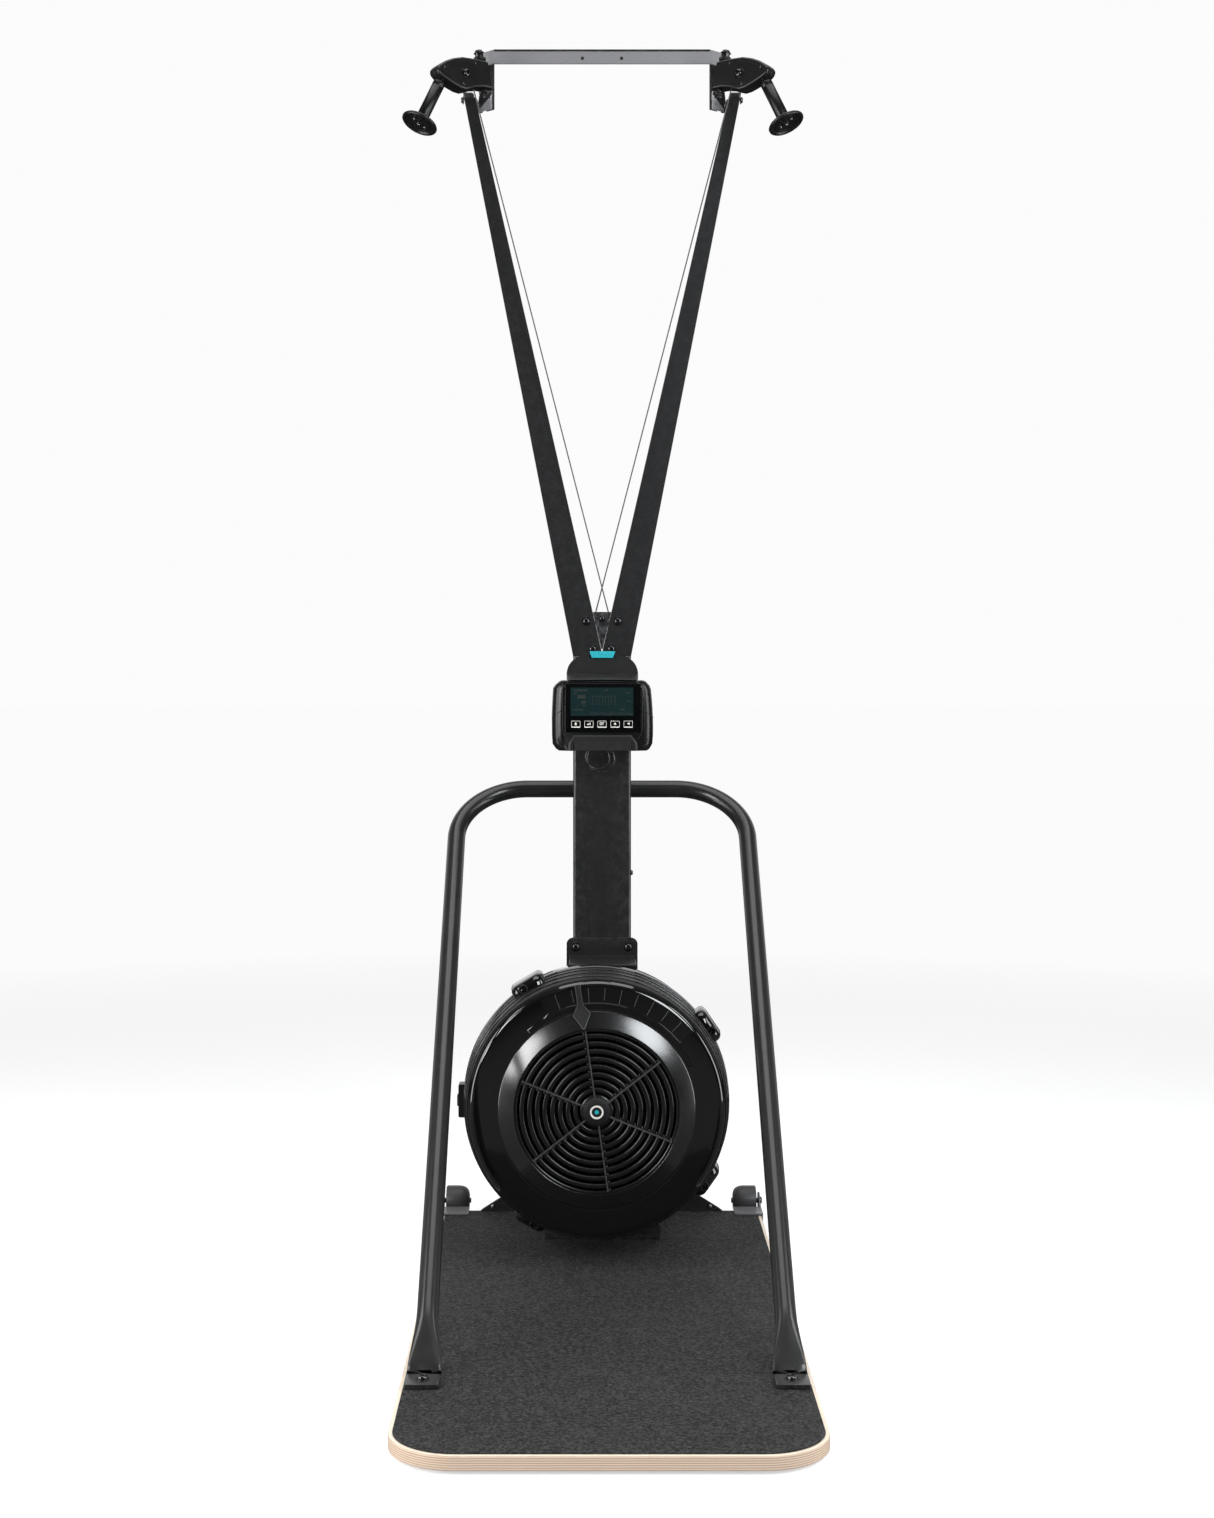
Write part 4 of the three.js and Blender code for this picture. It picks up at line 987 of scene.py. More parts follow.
# ---- fan -----------------------------------------------------------------------------------
FAN = Vector((JOINTS["fan_spin"]["pos_m"][0], 0, JOINTS["fan_spin"]["pos_m"][2])) / MM
RECESS = (39.0, 117.0)
RECESS_RADII, RECESS_DEPTH = (183.9, 212), 1.3
GROOVE = (25.0, 131.0)
GROOVE_RADII, GROOVE_DEPTH = (173.9, 180.1), 3.6
COVER_FRONT = 204
LEVER_ANGLE = 98.8
CLAMP_ANGLES = (120.6, 34.4, -35.5, -119.1)
RINGS, RING_FIRST, RING_HALF, RING_PITCH, PEG_FIRST = 8, 31.8, 4.35, 13.2, 42.7
BLADES, BLADE_FOOT, BLADE_REACH = 32, 62, 122
SPOKES = (98, 38, -22, -82, -142, 158)
COVER = [(229.0, 312.7), (233.2, 312.7), (233.6, 309), (232.8, 305.5), (231.0, 303.5), (230.4, 285),
         (229.0, 262),
         (227.0, 240), (224.6, 224), (222.0, 213.8), (218.8, 207.4), (215.6, 204.2), (212.5, 203.1),
         (211.4, 203.0),
         (184.0, 203.0), (183.2, 203.0), (180.6, 203.0), (180.0, 203.0), (174.0, 203.0), (173.4, 203.0),
         (169.2, 203.0), (168.4, 203.4), (141.6, 192.4), (141.3, 196), (150, 198.5),
         (158, 202.5), (165, 210), (211, 210), (217.5, 214), (222, 226), (225.5, 262), (229, 306)]


def polar(radius, angle, y):
    """A point round the fan's axis, with the angle in degrees from the right, up and over."""
    return FAN + Vector((radius * cos(radians(angle)), y, radius * sin(radians(angle))))


def outward(angle):
    """The unit vector out from the fan's axis at an angle, and the one beside it."""
    out = polar(1, angle, 0) - FAN
    return out, out.cross(Y)


def sunk_by(angle, radius, y):
    """How far the cover's front is sunk at a point: the damper's recess, and the groove inside it."""
    if y >= COVER_FRONT:
        return 0.0
    if GROOVE[0] < angle < GROOVE[1] and GROOVE_RADII[0] < radius < GROOVE_RADII[1]:
        return GROOVE_DEPTH
    if RECESS[0] < angle < RECESS[1] and RECESS_RADII[0] < radius < RECESS_RADII[1]:
        return RECESS_DEPTH
    return 0.0


def make_fan_cover():
    angles = sorted({k * 2.5 for k in range(144)} | {edge + step for edge in RECESS + GROOVE
                                                     for step in (-0.15, 0.15)})
    rings = [[polar(radius, angle, y + sunk_by(angle, radius, y)) for radius, y in COVER] for angle in angles]
    Form().skin(rings, looped=True).make("fan_cover", GLOSS, "frame", ("fan_front_shell",), sharp=28)

    bevel = [(169.4, 205), (169.4, 203.2), (168.9, 202.7), (168.2, 202.3), (143.2, 190.2), (142.3, 189.9),
             (141.6, 190.2), (141.4, 191), (141.4, 193)]
    Form().lathe(bevel, FAN, Y, 144).make("fan_bevel_ring", BEVEL, "frame", slot="gloss_shell", sharp=40)

    sleeve = [(222.7, 213.2), (225.4, 223.8), (227.8, 239.9), (229.8, 261.9), (231.1, 285), (231.4, 301),
              (229, 301),
              (228.8, 285), (227.4, 262), (225.2, 240), (222.6, 224), (220.4, 214.6)]
    Form().lathe(sleeve, FAN, Y, 128).make("fan_barrel_skin", TEXTURED, "frame", slot="gloss_shell", sharp=50)
    ribs = Form()
    for radius, y in ((226.4, 228), (229.2, 250), (230.9, 274), (231.6, 297)):
        ribs.lathe([(radius + 1.3 * cos(q), y + 1.3 * sin(q)) for q in circle(10)], FAN, Y, 128)
    ribs.make("fan_barrel_ribs", GLOSS, "frame", slot="gloss_shell", sharp=70)

    rear = [(229, 313), (233.2, 313), (233.8, 316), (233.4, 319.5), (231.6, 321.4), (228.6, 322.4),
            (226.8, 324.6),
            (226.2, 328), (226, 395), (224.4, 405), (221, 414), (215, 423), (207, 430), (199, 434.6),
            (190, 437),
            (150, 437), (147, 434), (60, 434), (57, 437), (12, 437), (12, 432), (187, 432), (205, 426),
            (217, 412),
            (221.5, 394), (221.5, 322), (229, 318)]
    Form().lathe(rear, FAN, Y, 144).make("fan_back", GLOSS, "frame", ("fan_rear_shell",), sharp=28)
    ribs = Form()
    for k in range(12):
        out, aside = outward(15 + 30 * k)
        ribs.prism([(-2.5, 62), (2.5, 62), (2.5, 146), (-2.5, 146)], 432.5, 436, aside, out, Y, FAN)
    ribs.make("fan_back_ribs", GLOSS, "frame", slot="gloss_shell", bevel=0.8)

    # The scale's ticks are real raised marks; their pale grey is painted highlight, standing in for light
    # caught on their edges.
    ticks = Form()
    for k in range(9):
        out, aside = outward(46 + k * 8.0)
        inner = 183.5 + 5 * (k % 2)
        tick = [(-0.6, inner), (0.6, inner), (0.6, 210), (-0.6, 210)]
        ticks.prism(tick, 203.1, 205, aside, out, Y, FAN)
    ticks.make("damper_scale", EDGE_HIGHLIGHT_GREY, "frame", slot="gloss_shell", bevel=0.35)
    lips = Form()
    for edge, stop in ((RECESS[0], GROOVE[0]), (RECESS[1], GROOVE[1])):
        turn = 1 if stop > edge else -1
        line = [polar(212, edge, 203), polar(204, edge, 202.9), polar(192, edge, 202.9),
                polar(185, edge + turn * 0.3, 202.9),
                polar(182, edge + turn * 1.6, 202.9), polar(180.6, edge + turn * 3.5, 202.9)]
        line += [polar(180.6, edge + turn * step, 202.9) for step in (6, 9, 12)] + [polar(180.6, stop, 202.9)]
        lips.cord(smooth_line(line, 4), 0.9, 8)
    lips.make("damper_slot_lips", GLOSS, "frame", slot="gloss_shell")


def make_fan_lugs():
    lugs = Form()
    collars = Form()
    screws = Form()
    for angle in CLAMP_ANGLES:
        out, aside = outward(angle)
        # Each clamp is a hood over the rim, lofted from its nose to the back.
        stations = ((254, 10, 234, 8), (255.5, 18, 238, 10), (259, 25, 242.5, 13), (264, 29, 245.5, 13),
                    (274, 31, 247, 12), (300, 31.4, 247.4, 10), (309, 30.8, 246.8, 9),
                    (313.2, 28.5, 244.5, 8))
        rings = []
        for y, half, top, corner in stations:
            outline = [(-half, 222), (half, 222), (half, top - corner)] + \
                arc(half - corner, top - corner, corner, 8, 90, 6) + \
                arc(-half + corner, top - corner, corner, 90, 172, 6) + [(-half, top - corner)]
            rings.append([FAN + aside * a + out * b + Y * y for a, b in outline])
        lugs.skin(rings)
        seat = FAN + out * 235.5 + aside * (8 if aside.z < 0 else -8)
        collars.lathe([(5.8, 252.8), (7.6, 252.6), (8.4, 253.4), (8.8, 262), (5.8, 262)], seat, Y, 40)
        collars.lathe([(0.01, 256.4), (5.9, 256.4), (5.9, 262), (0.01, 262)], seat, Y, 24)
        screws.rod(seat + Y * 254.9, seat + Y * 257, 3.6, 6, chamfer=0.4)
    lugs.make("rim_clamps", GLOSS, "frame", slot="gloss_shell", sharp=60)
    collars.make("rim_clamp_collars", DEEP_BLACK, "frame", slot="gloss_shell", sharp=40)
    screws.make("rim_clamp_screws", GRILLE_PLASTIC, "frame", slot="steel")

    sensor = Form()
    sensor.prism(rounded(-241.5, -226, -29, 29, (3, 2, 2, 3), 4), 280, 308, X, Z, Y, FAN)
    sensor.prism(rounded(-244, -240, -10, 10, (1.5, 1, 1, 1.5), 3), 285, 303, X, Z, Y, FAN)
    sensor.make("speed_sensor_case", SMOOTH_PLASTIC, "frame", slot="black_plastic", bevel=0.8)


def make_grille():
    grille = Form()
    for k in range(RINGS):
        radius = RING_FIRST + RING_HALF + RING_PITCH * k
        section = [(radius + RING_HALF * bent(cos(q), 1.25), 193.9 + 3.3 * sin(q)) for q in circle(16)]
        grille.lathe(section, FAN, Y, 120)
    grille.lathe([(136.6, 191.8), (138, 190.9), (139.6, 190.7), (140.9, 191.8), (140.9, 196), (136.6, 196)],
                 FAN, Y, 144)
    grille.lathe([(8, 191), (26, 191), (28, 192.5), (28, 196), (8, 196)], FAN, Y, 64)
    spokes = Form()
    for angle in SPOKES:
        out, aside = outward(angle)
        spokes.prism([(-1.2, 24), (1.2, 24), (1.2, 138.5), (-1.2, 138.5)], 188.0, 196, aside, out, Y, FAN)
        for k in range(RINGS):
            peg = FAN + out * (PEG_FIRST + RING_PITCH * k) + aside * 4
            spokes.rod(peg + Y * 189.4, peg + Y * 196, 1.4, 10, chamfer=0.4)
    grille.make("ring_grille", GRILLE_PLASTIC, "frame", ("fan_grille",), sharp=45)
    # The spokes' pale grey is painted highlight, standing in for light caught on their front edges.
    spokes.make("grille_spokes", EDGE_HIGHLIGHT_GREY, "frame", slot="gloss_shell", bevel=0.4)

    cap = [(0.01, 184), (12, 184.2), (19, 184.9), (22.6, 186.2), (24, 188.4), (24, 190), (0.01, 190)]
    Form().lathe(cap, FAN, Y, 72).make("hub_dome", TEXTURED, "frame", ("hub_cap",))
    motif = Form().lathe([(8.6, 184.4), (8.6, 183.6), (9.2, 183.3), (11.4, 183.5), (11.8, 184.6)], FAN, Y, 64)
    motif.make("hub_plain_ring", WHITE_PRINT, "frame", slot="key")
    Form().lathe([(0.01, 183.5), (3.4, 183.55), (3.8, 184.4), (0.01, 184.4)], FAN, Y, 32).make(
        "hub_plain_dot", CYAN, "frame", slot="cyan")


def make_fan_inside():
    wheel = Form()
    wheel.lathe([(7.8, 224), (20, 224), (24, 228), (24, 286), (186, 286), (187, 287.5), (186, 289), (24, 289),
                 (24, 292), (7.8, 292)], FAN, Y, 96)
    wheel.lathe([(176, 231), (187, 231), (187, 233), (176, 233)], FAN, Y, 96)
    for k in range(BLADES):
        rings = []
        for step in range(9):
            radius = BLADE_FOOT + BLADE_REACH * step / 8
            lead = -16 * (1 - step / 8) ** 1.4
            out, aside = outward(360 * k / BLADES + lead)
            rings.append([FAN + out * radius + aside * a + Y * y for a,
                          y in ((-1, 232), (1, 232), (1, 287), (-1, 287))])
        wheel.skin(rings)
    wheel.make("blower_wheel", DEEP_BLACK, "fan", ("fan_wheel",), sharp=40)
    shaft = [(0.01, 220), (6.8, 220), (7.5, 220.8), (7.5, 529.2), (6.8, 530), (0.01, 530)]
    Form().lathe(shaft, FAN, Y, 48).make("blower_shaft", ZINC, "fan", ("fan_shaft",))
    for side, _ in SIDES:
        low, high = corners(f"cord_drum_{side}")
        middle = (low.y + high.y) / 2
        drum = [(7.8, -11), (12, -11), (13, -10), (30, -10), (34, -11), (36, -11), (36, -8.4), (31.5, -7.6),
                (30, -6.6),
                (30, 6.6), (31.5, 7.6), (36, 8.4), (36, 11), (34, 11), (30, 10), (13, 10), (12, 11),
                (7.8, 11)]
        Form().lathe(drum, FAN + Y * middle, Y, 72).make(
            f"line_drum_{side}", ALLOY, f"drum_{side}", (f"cord_drum_{side}",))
    refined("drum_bearing_block", ZINC, 0.8)
    refined("damper_ring", DEEP_BLACK, 0.3)


def make_lever():
    """A spear-shaped pointer with a ridge, bent to follow the cover and its bevel."""
    out, aside = outward(LEVER_ANGLE)
    stations = [(217.2, 4.8, 202.4, 3.2), (212, 4.6, 202.4, 3.6), (204, 4.4, 202.4, 3.8),
                (192, 4.4, 202.4, 3.8),
                (182, 5.2, 202.4, 3.8), (177, 8.2, 202.4, 4.0), (170, 12.6, 202.2, 4.4),
                (166, 15.0, 200.8, 4.6),
                (160, 11.8, 198.2, 4.4), (152, 6.6, 194.6, 3.6), (146, 3.0, 191.8, 2.6),
                (142, 0.8, 189.8, 1.6)]
    rings = []
    for radius, half, base, rise in stations:
        centre = FAN + out * radius + Y * base
        rings.append([centre - aside * half, centre - aside * half - Y * 0.9, centre - Y * rise,
                      centre + aside * half - Y * 0.9, centre + aside * half])
    lever = Form().skin(rings)
    lever.rod(FAN + out * 177 + Y * 201, FAN + out * 177 + Y * 209, 2.5, 16)
    lever.make("damper_pointer", DEEP_BLACK, "damper", ("damper_lever",), bevel=0.3, sharp=22)
    # Painted highlights: pale cords along the spear's two edges stand in for the light its edges catch.
    highlight_cords = Form()
    for s in (-1, 1):
        line = [FAN + out * radius + aside * s * half * 0.96 + Y * (base - 1.3) for radius, half, base,
                _ in stations]
        highlight_cords.cord(smooth_line(line, 3), 0.85, 8)
    highlight_cords.make("damper_pointer_painted_highlights", EDGE_HIGHLIGHT_GREY, "damper", slot="gloss_shell")


# ---- console -------------------------------------------------------------------------------
CONSOLE_OUTLINE = [(-78, 907.6), (-60, 907), (0, 907), (60, 907), (80, 907.6), (84.5, 911), (89.6, 920),
                   (90.8, 935),
                   (91, 952), (90.8, 967), (90, 985), (88.6, 1004), (87.2, 1018), (84.6, 1024.6),
                   (77.4, 1032.2),
                   (73, 1034), (0, 1034), (-73, 1034), (-77.4, 1032.2), (-84.6, 1026), (-88.8, 1020),
                   (-89.8, 1004),
                   (-90.6, 985), (-91, 967), (-90.8, 952), (-90.6, 935), (-89.6, 920), (-83.5, 911)]


def make_console():
    middle = Vector((0, 0, 970.5))

    def ring(inset_x, inset_z, y):
        scale_x, scale_z = 1 - inset_x / 91, 1 - inset_z / 63.5
        return [Vector((x * scale_x, y, middle.z + (z - middle.z) * scale_z)) for x, z in CONSOLE_OUTLINE]

    # The case: a flat fascia, side cheeks that roll back, and a closed rear.
    case = Form()
    depth = [(20.5, 2.8, 361.9), (18, 2.2, 361.2), (16.4, 1.9, 361.4), (11, 1.4, 363.4), (6.2, 0.9, 366.8),
             (2.6, 0.4, 371.6),
             (0.6, 0.1, 377.4), (0, 0, 384), (0, 0, 389.2), (0.7, 0.6, 389.5), (0.7, 0.6, 390.3),
             (0, 0, 390.6),
             (0.4, 0.3, 397), (3, 2.6, 402.6), (8, 6.5, 406), (14, 11, 407)]
    case.skin([ring(*station) for station in depth])
    case.make("console_case", CASE_PLASTIC, "console", ("console_housing",), sharp=24)

    ears = Form()
    tilt = Vector(JOINTS["console_tilt"]["pos_m"]) / MM
    for s in (-1, 1):
        x0, x1 = s * 13.2 - 3, s * 13.2 + 3
        ears.box((x0, 405, tilt.z - 10), (x1, tilt.y, tilt.z + 10))
        ears.rod((x0, tilt.y, tilt.z), (x1, tilt.y, tilt.z), 10, 40, chamfer=0.5)
        ears.rod((s * 16.2, tilt.y, tilt.z), (s * 22, tilt.y, tilt.z), 8.4, 12, chamfer=1)
    ears.rod((-16, tilt.y, tilt.z), (16, tilt.y, tilt.z), 4, 24)
    ears.make("console_hinge_ears", TEXTURED, "console", slot="black_plastic", bevel=0.6)

    # The lower ledge that stands out of the fascia, with stepped ends.
    ledge = Form()
    outer = [(-61.5, 908), (63, 908), (62, 922), (51.9, 936), (-51.9, 936), (-60.7, 922)]
    upper = [(-58, 908), (59.5, 908), (58.6, 921), (49.4, 933.4), (-49.4, 933.4), (-57.2, 921)]
    ledge.skin([[Vector((x, y, z)) for x, z in ring] for ring, y in
                ((outer, 366), (outer, 360.9), (upper, 358.9), (upper, 358.5))])
    ledge.box((-50.5, 355.6, 908.4), (51.5, 359.6, 925.6))
    for x in (-53.4, 53.6):
        ledge.box((x - 1.1, 357.2, 908.6), (x + 1.1, 359.2, 922))
    ledge.make("console_lower_ledge", TEXTURED, "console", slot="black_plastic", bevel=0.8, segments=3)

    # Shut lines where the cheeks split, and the raised rails beside the lens.
    seams = Form()
    for s in (-1, 1):
        seams.cord([Vector((s * 72.6, 360.9, 981)), Vector((s * 78, 362.2, 977)),
                    Vector((s * 84, 366.0, 972.4)),
                    Vector((s * 88.6, 371.4, 969)), Vector((s * 90.9, 380, 967))], 0.55, 8)
        seams.cord([Vector((s * 71, 360.8, 1029)), Vector((s * 71.6, 360.8, 1000)),
                    Vector((s * 71.6, 360.8, 950)),
                    Vector((s * 69.6, 360.8, 938)), Vector((s * 63, 360.9, 929))], 0.5, 8)
        seams.cord([Vector((s * 72, 361.6, 914)), Vector((s * 79, 363, 922)), Vector((s * 81, 363.6, 930))],
                   0.5, 8)
    seams.make("console_shut_lines", TEXTURED, "console", slot="black_plastic")

    vents = Form()
    for k in range(7):
        z = 1002 - 5.5 * k
        vents.prism(rounded(-34, 34, z - 1.1, z + 1.1, (1, 1, 1, 1), 3), 406.2, 407.5)
    vents.make("console_back_slats", TEXTURED, "console", slot="black_plastic", bevel=0.3)
    screws = Form()
    for x in (-62, 62):
        for z in (930, 1012):
            screws.bolt((x, 406.2, z), Y, 3, 1.8, washer=False)
    screws.make("console_back_screws", BLACK_BOLT, "console", slot="steel")


def make_display():
    low, high = corners("console_screen")
    pane = Form().prism(rounded(low.x, high.x, low.z, high.z, (1.6, 1.6, 1.6, 1.6), 4), low.y - 0.7, high.y)
    front = low.y - 0.7
    pane.make("display_pane", LENS, "console", ("console_screen",), bevel=0.35)
    # The field behind the lens carries the display's faint painted glow.
    Form().prism(rounded(-57, 55, 970.4, 1021, (0.8, 0.8, 0.8, 0.8), 3), front - 0.12, front + 0.2).make(
        "display_field", CRYSTAL, "console", slot="glass")
    marks = Form()

    def block(x0, x1, z0, z1):
        marks.box((x0, front - 0.2, z0), (x1, front - 0.05, z1))

    for x0, x1, z0, z1 in ((-50, -27, 1014.5, 1017.2), (3, 10, 1015.4, 1017.6), (42, 51, 1010.6, 1012.4),
                           (-52, -46, 1009.6, 1011.8), (-45, -30, 1001.5, 1008), (-38, -30, 992.4, 997.4),
                           (-35, -31, 987.4, 990.4), (-52, -35, 980.4, 982.4), (44, 50, 995.4, 997.4),
                           (32, 40, 980.6, 983.2), (48, 53, 972.4, 975)):
        block(x0, x1, z0, z1)
    for k in range(20):
        block(-24 + 3.6 * k, -22.4 + 3.6 * k, 972.6, 974.6 + 2.6 * abs(sin(k * 0.7)))
    for k in range(4):
        block(-18 + 11 * k, -10.4 + 11 * k, 1005.2, 1006.2)
        block(-18 + 11 * k, -17 + 11 * k, 990, 1005.2)
        block(-11.4 + 11 * k, -10.4 + 11 * k, 990, 1005.2)
    marks.make("display_marks", SEGMENT, "console", slot="glass")


def key_icon(icon, index, x, z, face):
    """Small plain symbols: a dot, a rising pair, bars, a point up and a point left."""
    def tile(points):
        icon.prism(points, face - 0.22, face - 0.02)

    if index == 1:
        tile([(x + 1.9 * cos(q), z + 1.9 * sin(q)) for q in circle(16)])
        tile([(x - 2.6, z - 3.0), (x + 2.6, z - 3.0), (x + 2.6, z - 2.4), (x - 2.6, z - 2.4)])
    elif index == 2:
        for k in range(3):
            tile([(x - 3.4 + 2.4 * k, z - 2.4), (x - 1.8 + 2.4 * k, z - 2.4),
                  (x - 1.8 + 2.4 * k, z - 0.6 + 1.3 * k),
                  (x - 3.4 + 2.4 * k, z - 0.6 + 1.3 * k)])
    elif index == 3:
        for k in range(3):
            tile([(x - 4.4, z + 1.7 - 2 * k), (x + 4.4 - k, z + 1.7 - 2 * k), (x + 4.4 - k, z + 2.6 - 2 * k),
                  (x - 4.4, z + 2.6 - 2 * k)])
    elif index == 4:
        tile([(x - 2.6, z - 1.8), (x + 2.6, z - 1.8), (x, z + 2.4)])
    else:
        tile([(x + 2.4, z - 2.4), (x + 2.4, z + 2.4), (x - 2.4, z)])


def make_keys():
    for index in range(1, 6):
        low, high = corners(f"key_{index}")
        x, z = (low.x + high.x) / 2, (low.z + high.z) / 2
        half_x, half_z = (high.x - low.x) / 2, (high.z - low.z) / 2
        face = low.y - 0.5
        cap = Form().prism(rounded(low.x, high.x, low.z, high.z, (1.2, 1.2, 1.2, 1.2), 4), face, high.y)
        cap.make(f"key_{index}_cap", GLOSS, f"key_{index}", (f"key_{index}",), bevel=0.3)
        outline = Form()
        rim = 0.6
        outer = rounded(x - half_x + 0.2, x + half_x - 0.2, z - half_z + 0.2, z + half_z - 0.2, (1, 1, 1, 1),
                        4)
        inner = rounded(x - half_x + 0.2 + rim, x + half_x - 0.2 - rim, z - half_z + 1.9, z + half_z - 0.2
                        - rim,
                        (0.6, 0.6, 0.6, 0.6), 4)

        def at_depth(loop, y):
            return [Vector((a, y, b)) for a, b in loop]

        outline.skin([at_depth(outer, face + 0.05), at_depth(outer, face - 0.18),
                      at_depth(inner, face - 0.18),
                      at_depth(inner, face + 0.05)], looped=True)
        key_icon(outline, index, x, z + 1.1, face)
        outline.make(f"key_{index}_print", WHITE_PRINT, f"key_{index}", slot="key")


def make_device_rest():
    bottom = corners("device_rest")[0].z
    shoulder = 8

    def dome(half, top, base):
        turns = [pi / 2 * k / 14 for k in range(1, 14)]
        crown = [(half * cos(q) ** 0.62, base + shoulder + (top - base - shoulder) * sin(q) ** 0.9)
                 for q in turns]
        return ([(-half, base), (half, base), (half, base + shoulder)] + crown + [(0, top)]
                + [(-x, z) for x, z in reversed(crown)] + [(-half, base + shoulder)])

    back = Form().prism(dome(64.5, 1081, bottom), 399, 405)
    back.prism(dome(56, 1076, bottom + 3), 398.2, 399.4)
    back.make("rest_back", DEEP_BLACK, "console", ("device_rest",), bevel=1.2, segments=3)
    # The sill rises from the case top and rolls back into the rest.
    sill = Form()
    rings = []
    for y, half, top in ((367, 58, 1035.6), (370, 60.5, 1037.6), (380, 63, 1041.5), (392, 64, 1046.0),
                         (399.5, 64, 1047.5)):
        rings.append([Vector((x, y, z)) for x, z in
                      [(-half, bottom), (half, bottom), (half, top - 3), (half - 6, top - 0.8), (0, top),
                       (-half + 6, top - 0.8), (-half, top - 3)]])
    sill.skin(rings).make("rest_sill", DISC_PLASTIC, "console", slot="black_plastic", bevel=1.0, segments=3)
    tab = Form().prism([(-19, 1074), (19, 1074), (23, 1086), (-23, 1086)], 393.6, 398.6)
    tab.prism([(-21.5, 1081.6), (21.5, 1081.6), (23, 1086), (-23, 1086)], 398, 408)
    for k in range(6):
        x = -15 + 6 * k
        tab.prism([(x - 1, 1077), (x + 1, 1077), (x + 1.4, 1083.4), (x - 1.4, 1083.4)], 392.9, 394)
    tab.make("rest_grip_tab", CYAN, "console", ("device_rest_tab",), bevel=0.7, segments=3)


def make_console_arm():
    refined("console_arm", FRAME_COAT, 1.2, segments=3, sharp=40)
    face = corners("console_arm")[1].y - 3.9
    bolts = Form()
    for x, z in ((-16, 987), (16, 987), (-16, 941), (16, 941)):
        bolts.bolt((x, face, z), -Y, 4.2, 3)
    bolts.make("console_arm_bolts", BLACK_BOLT, "frame", slot="steel")
    grommet = Form().lathe([(1.9, -3), (5.4, -3), (5.6, -2.2), (4, -0.4), (1.9, -0.4)], (12, 460, 925), Y, 32)
    grommet.make("lead_grommet", RUBBER, "frame", slot="rubber")
    gland = Form().lathe([(1.9, 0), (4.6, 0), (4.2, 2.4), (2.6, 6), (1.9, 6)], (-14, 406.8, 925), Y, 32)
    gland.make("lead_gland", RUBBER, "console", slot="rubber")


make_platform()
make_wheels()
make_mast()
make_stand_tube()
for head in HEADS:
    make_head(head)
    make_handle(head)
make_fan_cover()
make_fan_lugs()
make_grille()
make_fan_inside()
make_lever()
make_console()
make_display()
make_keys()
make_device_rest()
make_console_arm()


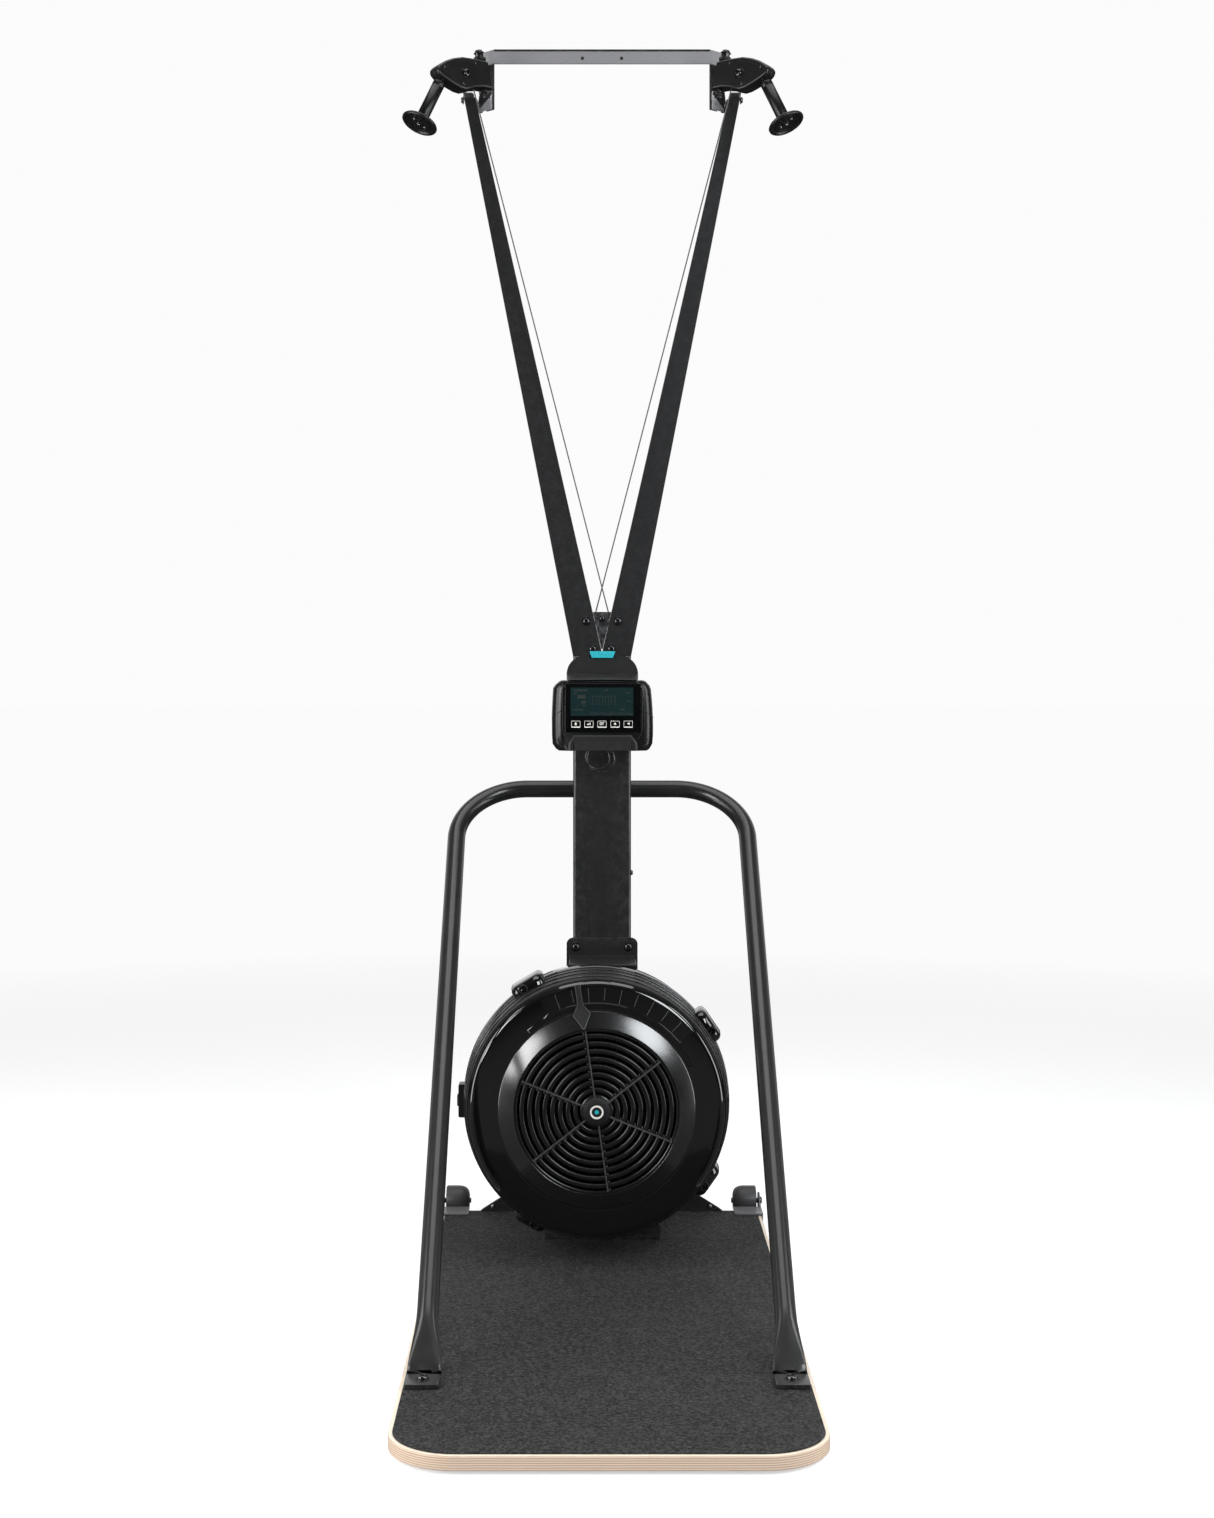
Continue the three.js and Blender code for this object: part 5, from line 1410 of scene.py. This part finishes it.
# ---- floor and light -----------------------------------------------------------------------
def make_floor():
    """Pale paper: the camera sees it fade to white with distance, and gloss reflects it as dark grey."""
    data = bpy.data.meshes.new("studio_floor")
    reach = 40.0
    data.from_pydata([(-reach, -reach, 0), (reach, -reach, 0), (reach, reach, 0), (-reach, reach, 0)], [],
                     [(0, 1, 2, 3)])
    floor = bpy.data.objects.new("studio_floor", data)
    scene.collection.objects.link(floor)
    finish = Finish("studio_paper", Roughness=1.0, Specular_IOR_Level=0.0)
    tree = finish.tree
    away = node(tree, "VectorMath", operation="LENGTH")
    tree.links.new(place_of(tree), away.inputs[0])
    far = ranged(tree, away.outputs["Value"], 1.6, 4.5, 0.0, 1.0)
    ray = node(tree, "LightPath")
    paper = mixed(tree, far, (0.62, 0.62, 0.63, 1), (0.01, 0.01, 0.01, 1))
    finish.set("Base Color", mixed(tree, ray.outputs["Is Glossy Ray"], paper, (0.12, 0.12, 0.12, 1)))
    glow = ranged(tree, far, 0.0, 1.0, 0.54, 0.962)
    seen = ray.outputs["Is Camera Ray"]
    finish.shader.inputs["Emission Color"].default_value = (1, 1, 1, 1)
    feed(tree, finish.shader, "Emission Strength", maths(tree, "MULTIPLY", glow, seen))
    data.materials.append(finish.material)


def softbox(name, place, aim, size, power, tint=(1, 1, 1)):
    lamp = bpy.data.lights.new(name, "AREA")
    lamp.shape = "RECTANGLE"
    lamp.size, lamp.size_y = size
    lamp.energy = power
    lamp.color = tint
    holder = bpy.data.objects.new(name, lamp)
    scene.collection.objects.link(holder)
    holder.location = place
    holder.rotation_euler = (Vector(aim) - Vector(place)).to_track_quat("-Z", "Y").to_euler()


def make_light():
    """White to the camera. To other rays it is dim, but bright beyond the object, so that edges catch it."""
    world = bpy.data.worlds.new("studio")
    scene.world = world
    world.use_nodes = True
    tree = world.node_tree
    dim = tree.nodes["Background"]
    dim.inputs["Color"].default_value = (0.97, 0.98, 1, 1)
    ahead = parted(tree, node(tree, "TexCoord").outputs["Generated"])["Y"]
    tree.links.new(ranged(tree, ahead, 0.4, 0.95, 0.03, 1.0), dim.inputs["Strength"])
    seen = tree.nodes.new("ShaderNodeBackground")
    seen.inputs["Color"].default_value = (1, 1, 1, 1)
    seen.inputs["Strength"].default_value = 0.97
    path = tree.nodes.new("ShaderNodeLightPath")
    chosen = tree.nodes.new("ShaderNodeMixShader")
    tree.links.new(path.outputs["Is Camera Ray"], chosen.inputs[0])
    tree.links.new(dim.outputs[0], chosen.inputs[1])
    tree.links.new(seen.outputs[0], chosen.inputs[2])
    tree.links.new(chosen.outputs[0], tree.nodes["World Output"].inputs["Surface"])
    softbox("overhead", (0, 0.1, 4.4), (0, 0.1, 0), (3.0, 3.0), 80)
    softbox("left_key", (-2.2, -1.9, 1.35), (0, 0.2, 0.5), (1.1, 1.3), 56)
    softbox("right_key", (1.6, -2.1, 2.0), (0, 0.2, 0.6), (1.1, 1.3), 56, (0.93, 0.97, 1))
    softbox("left_strip", (-2.3, -0.45, 1.3), (0, 0.4, 1.2), (0.9, 2.8), 46)
    softbox("right_strip", (2.3, -0.45, 1.3), (0, 0.4, 1.2), (0.9, 2.8), 46)


make_floor()
make_light()
scene.view_settings.view_transform = "Standard"
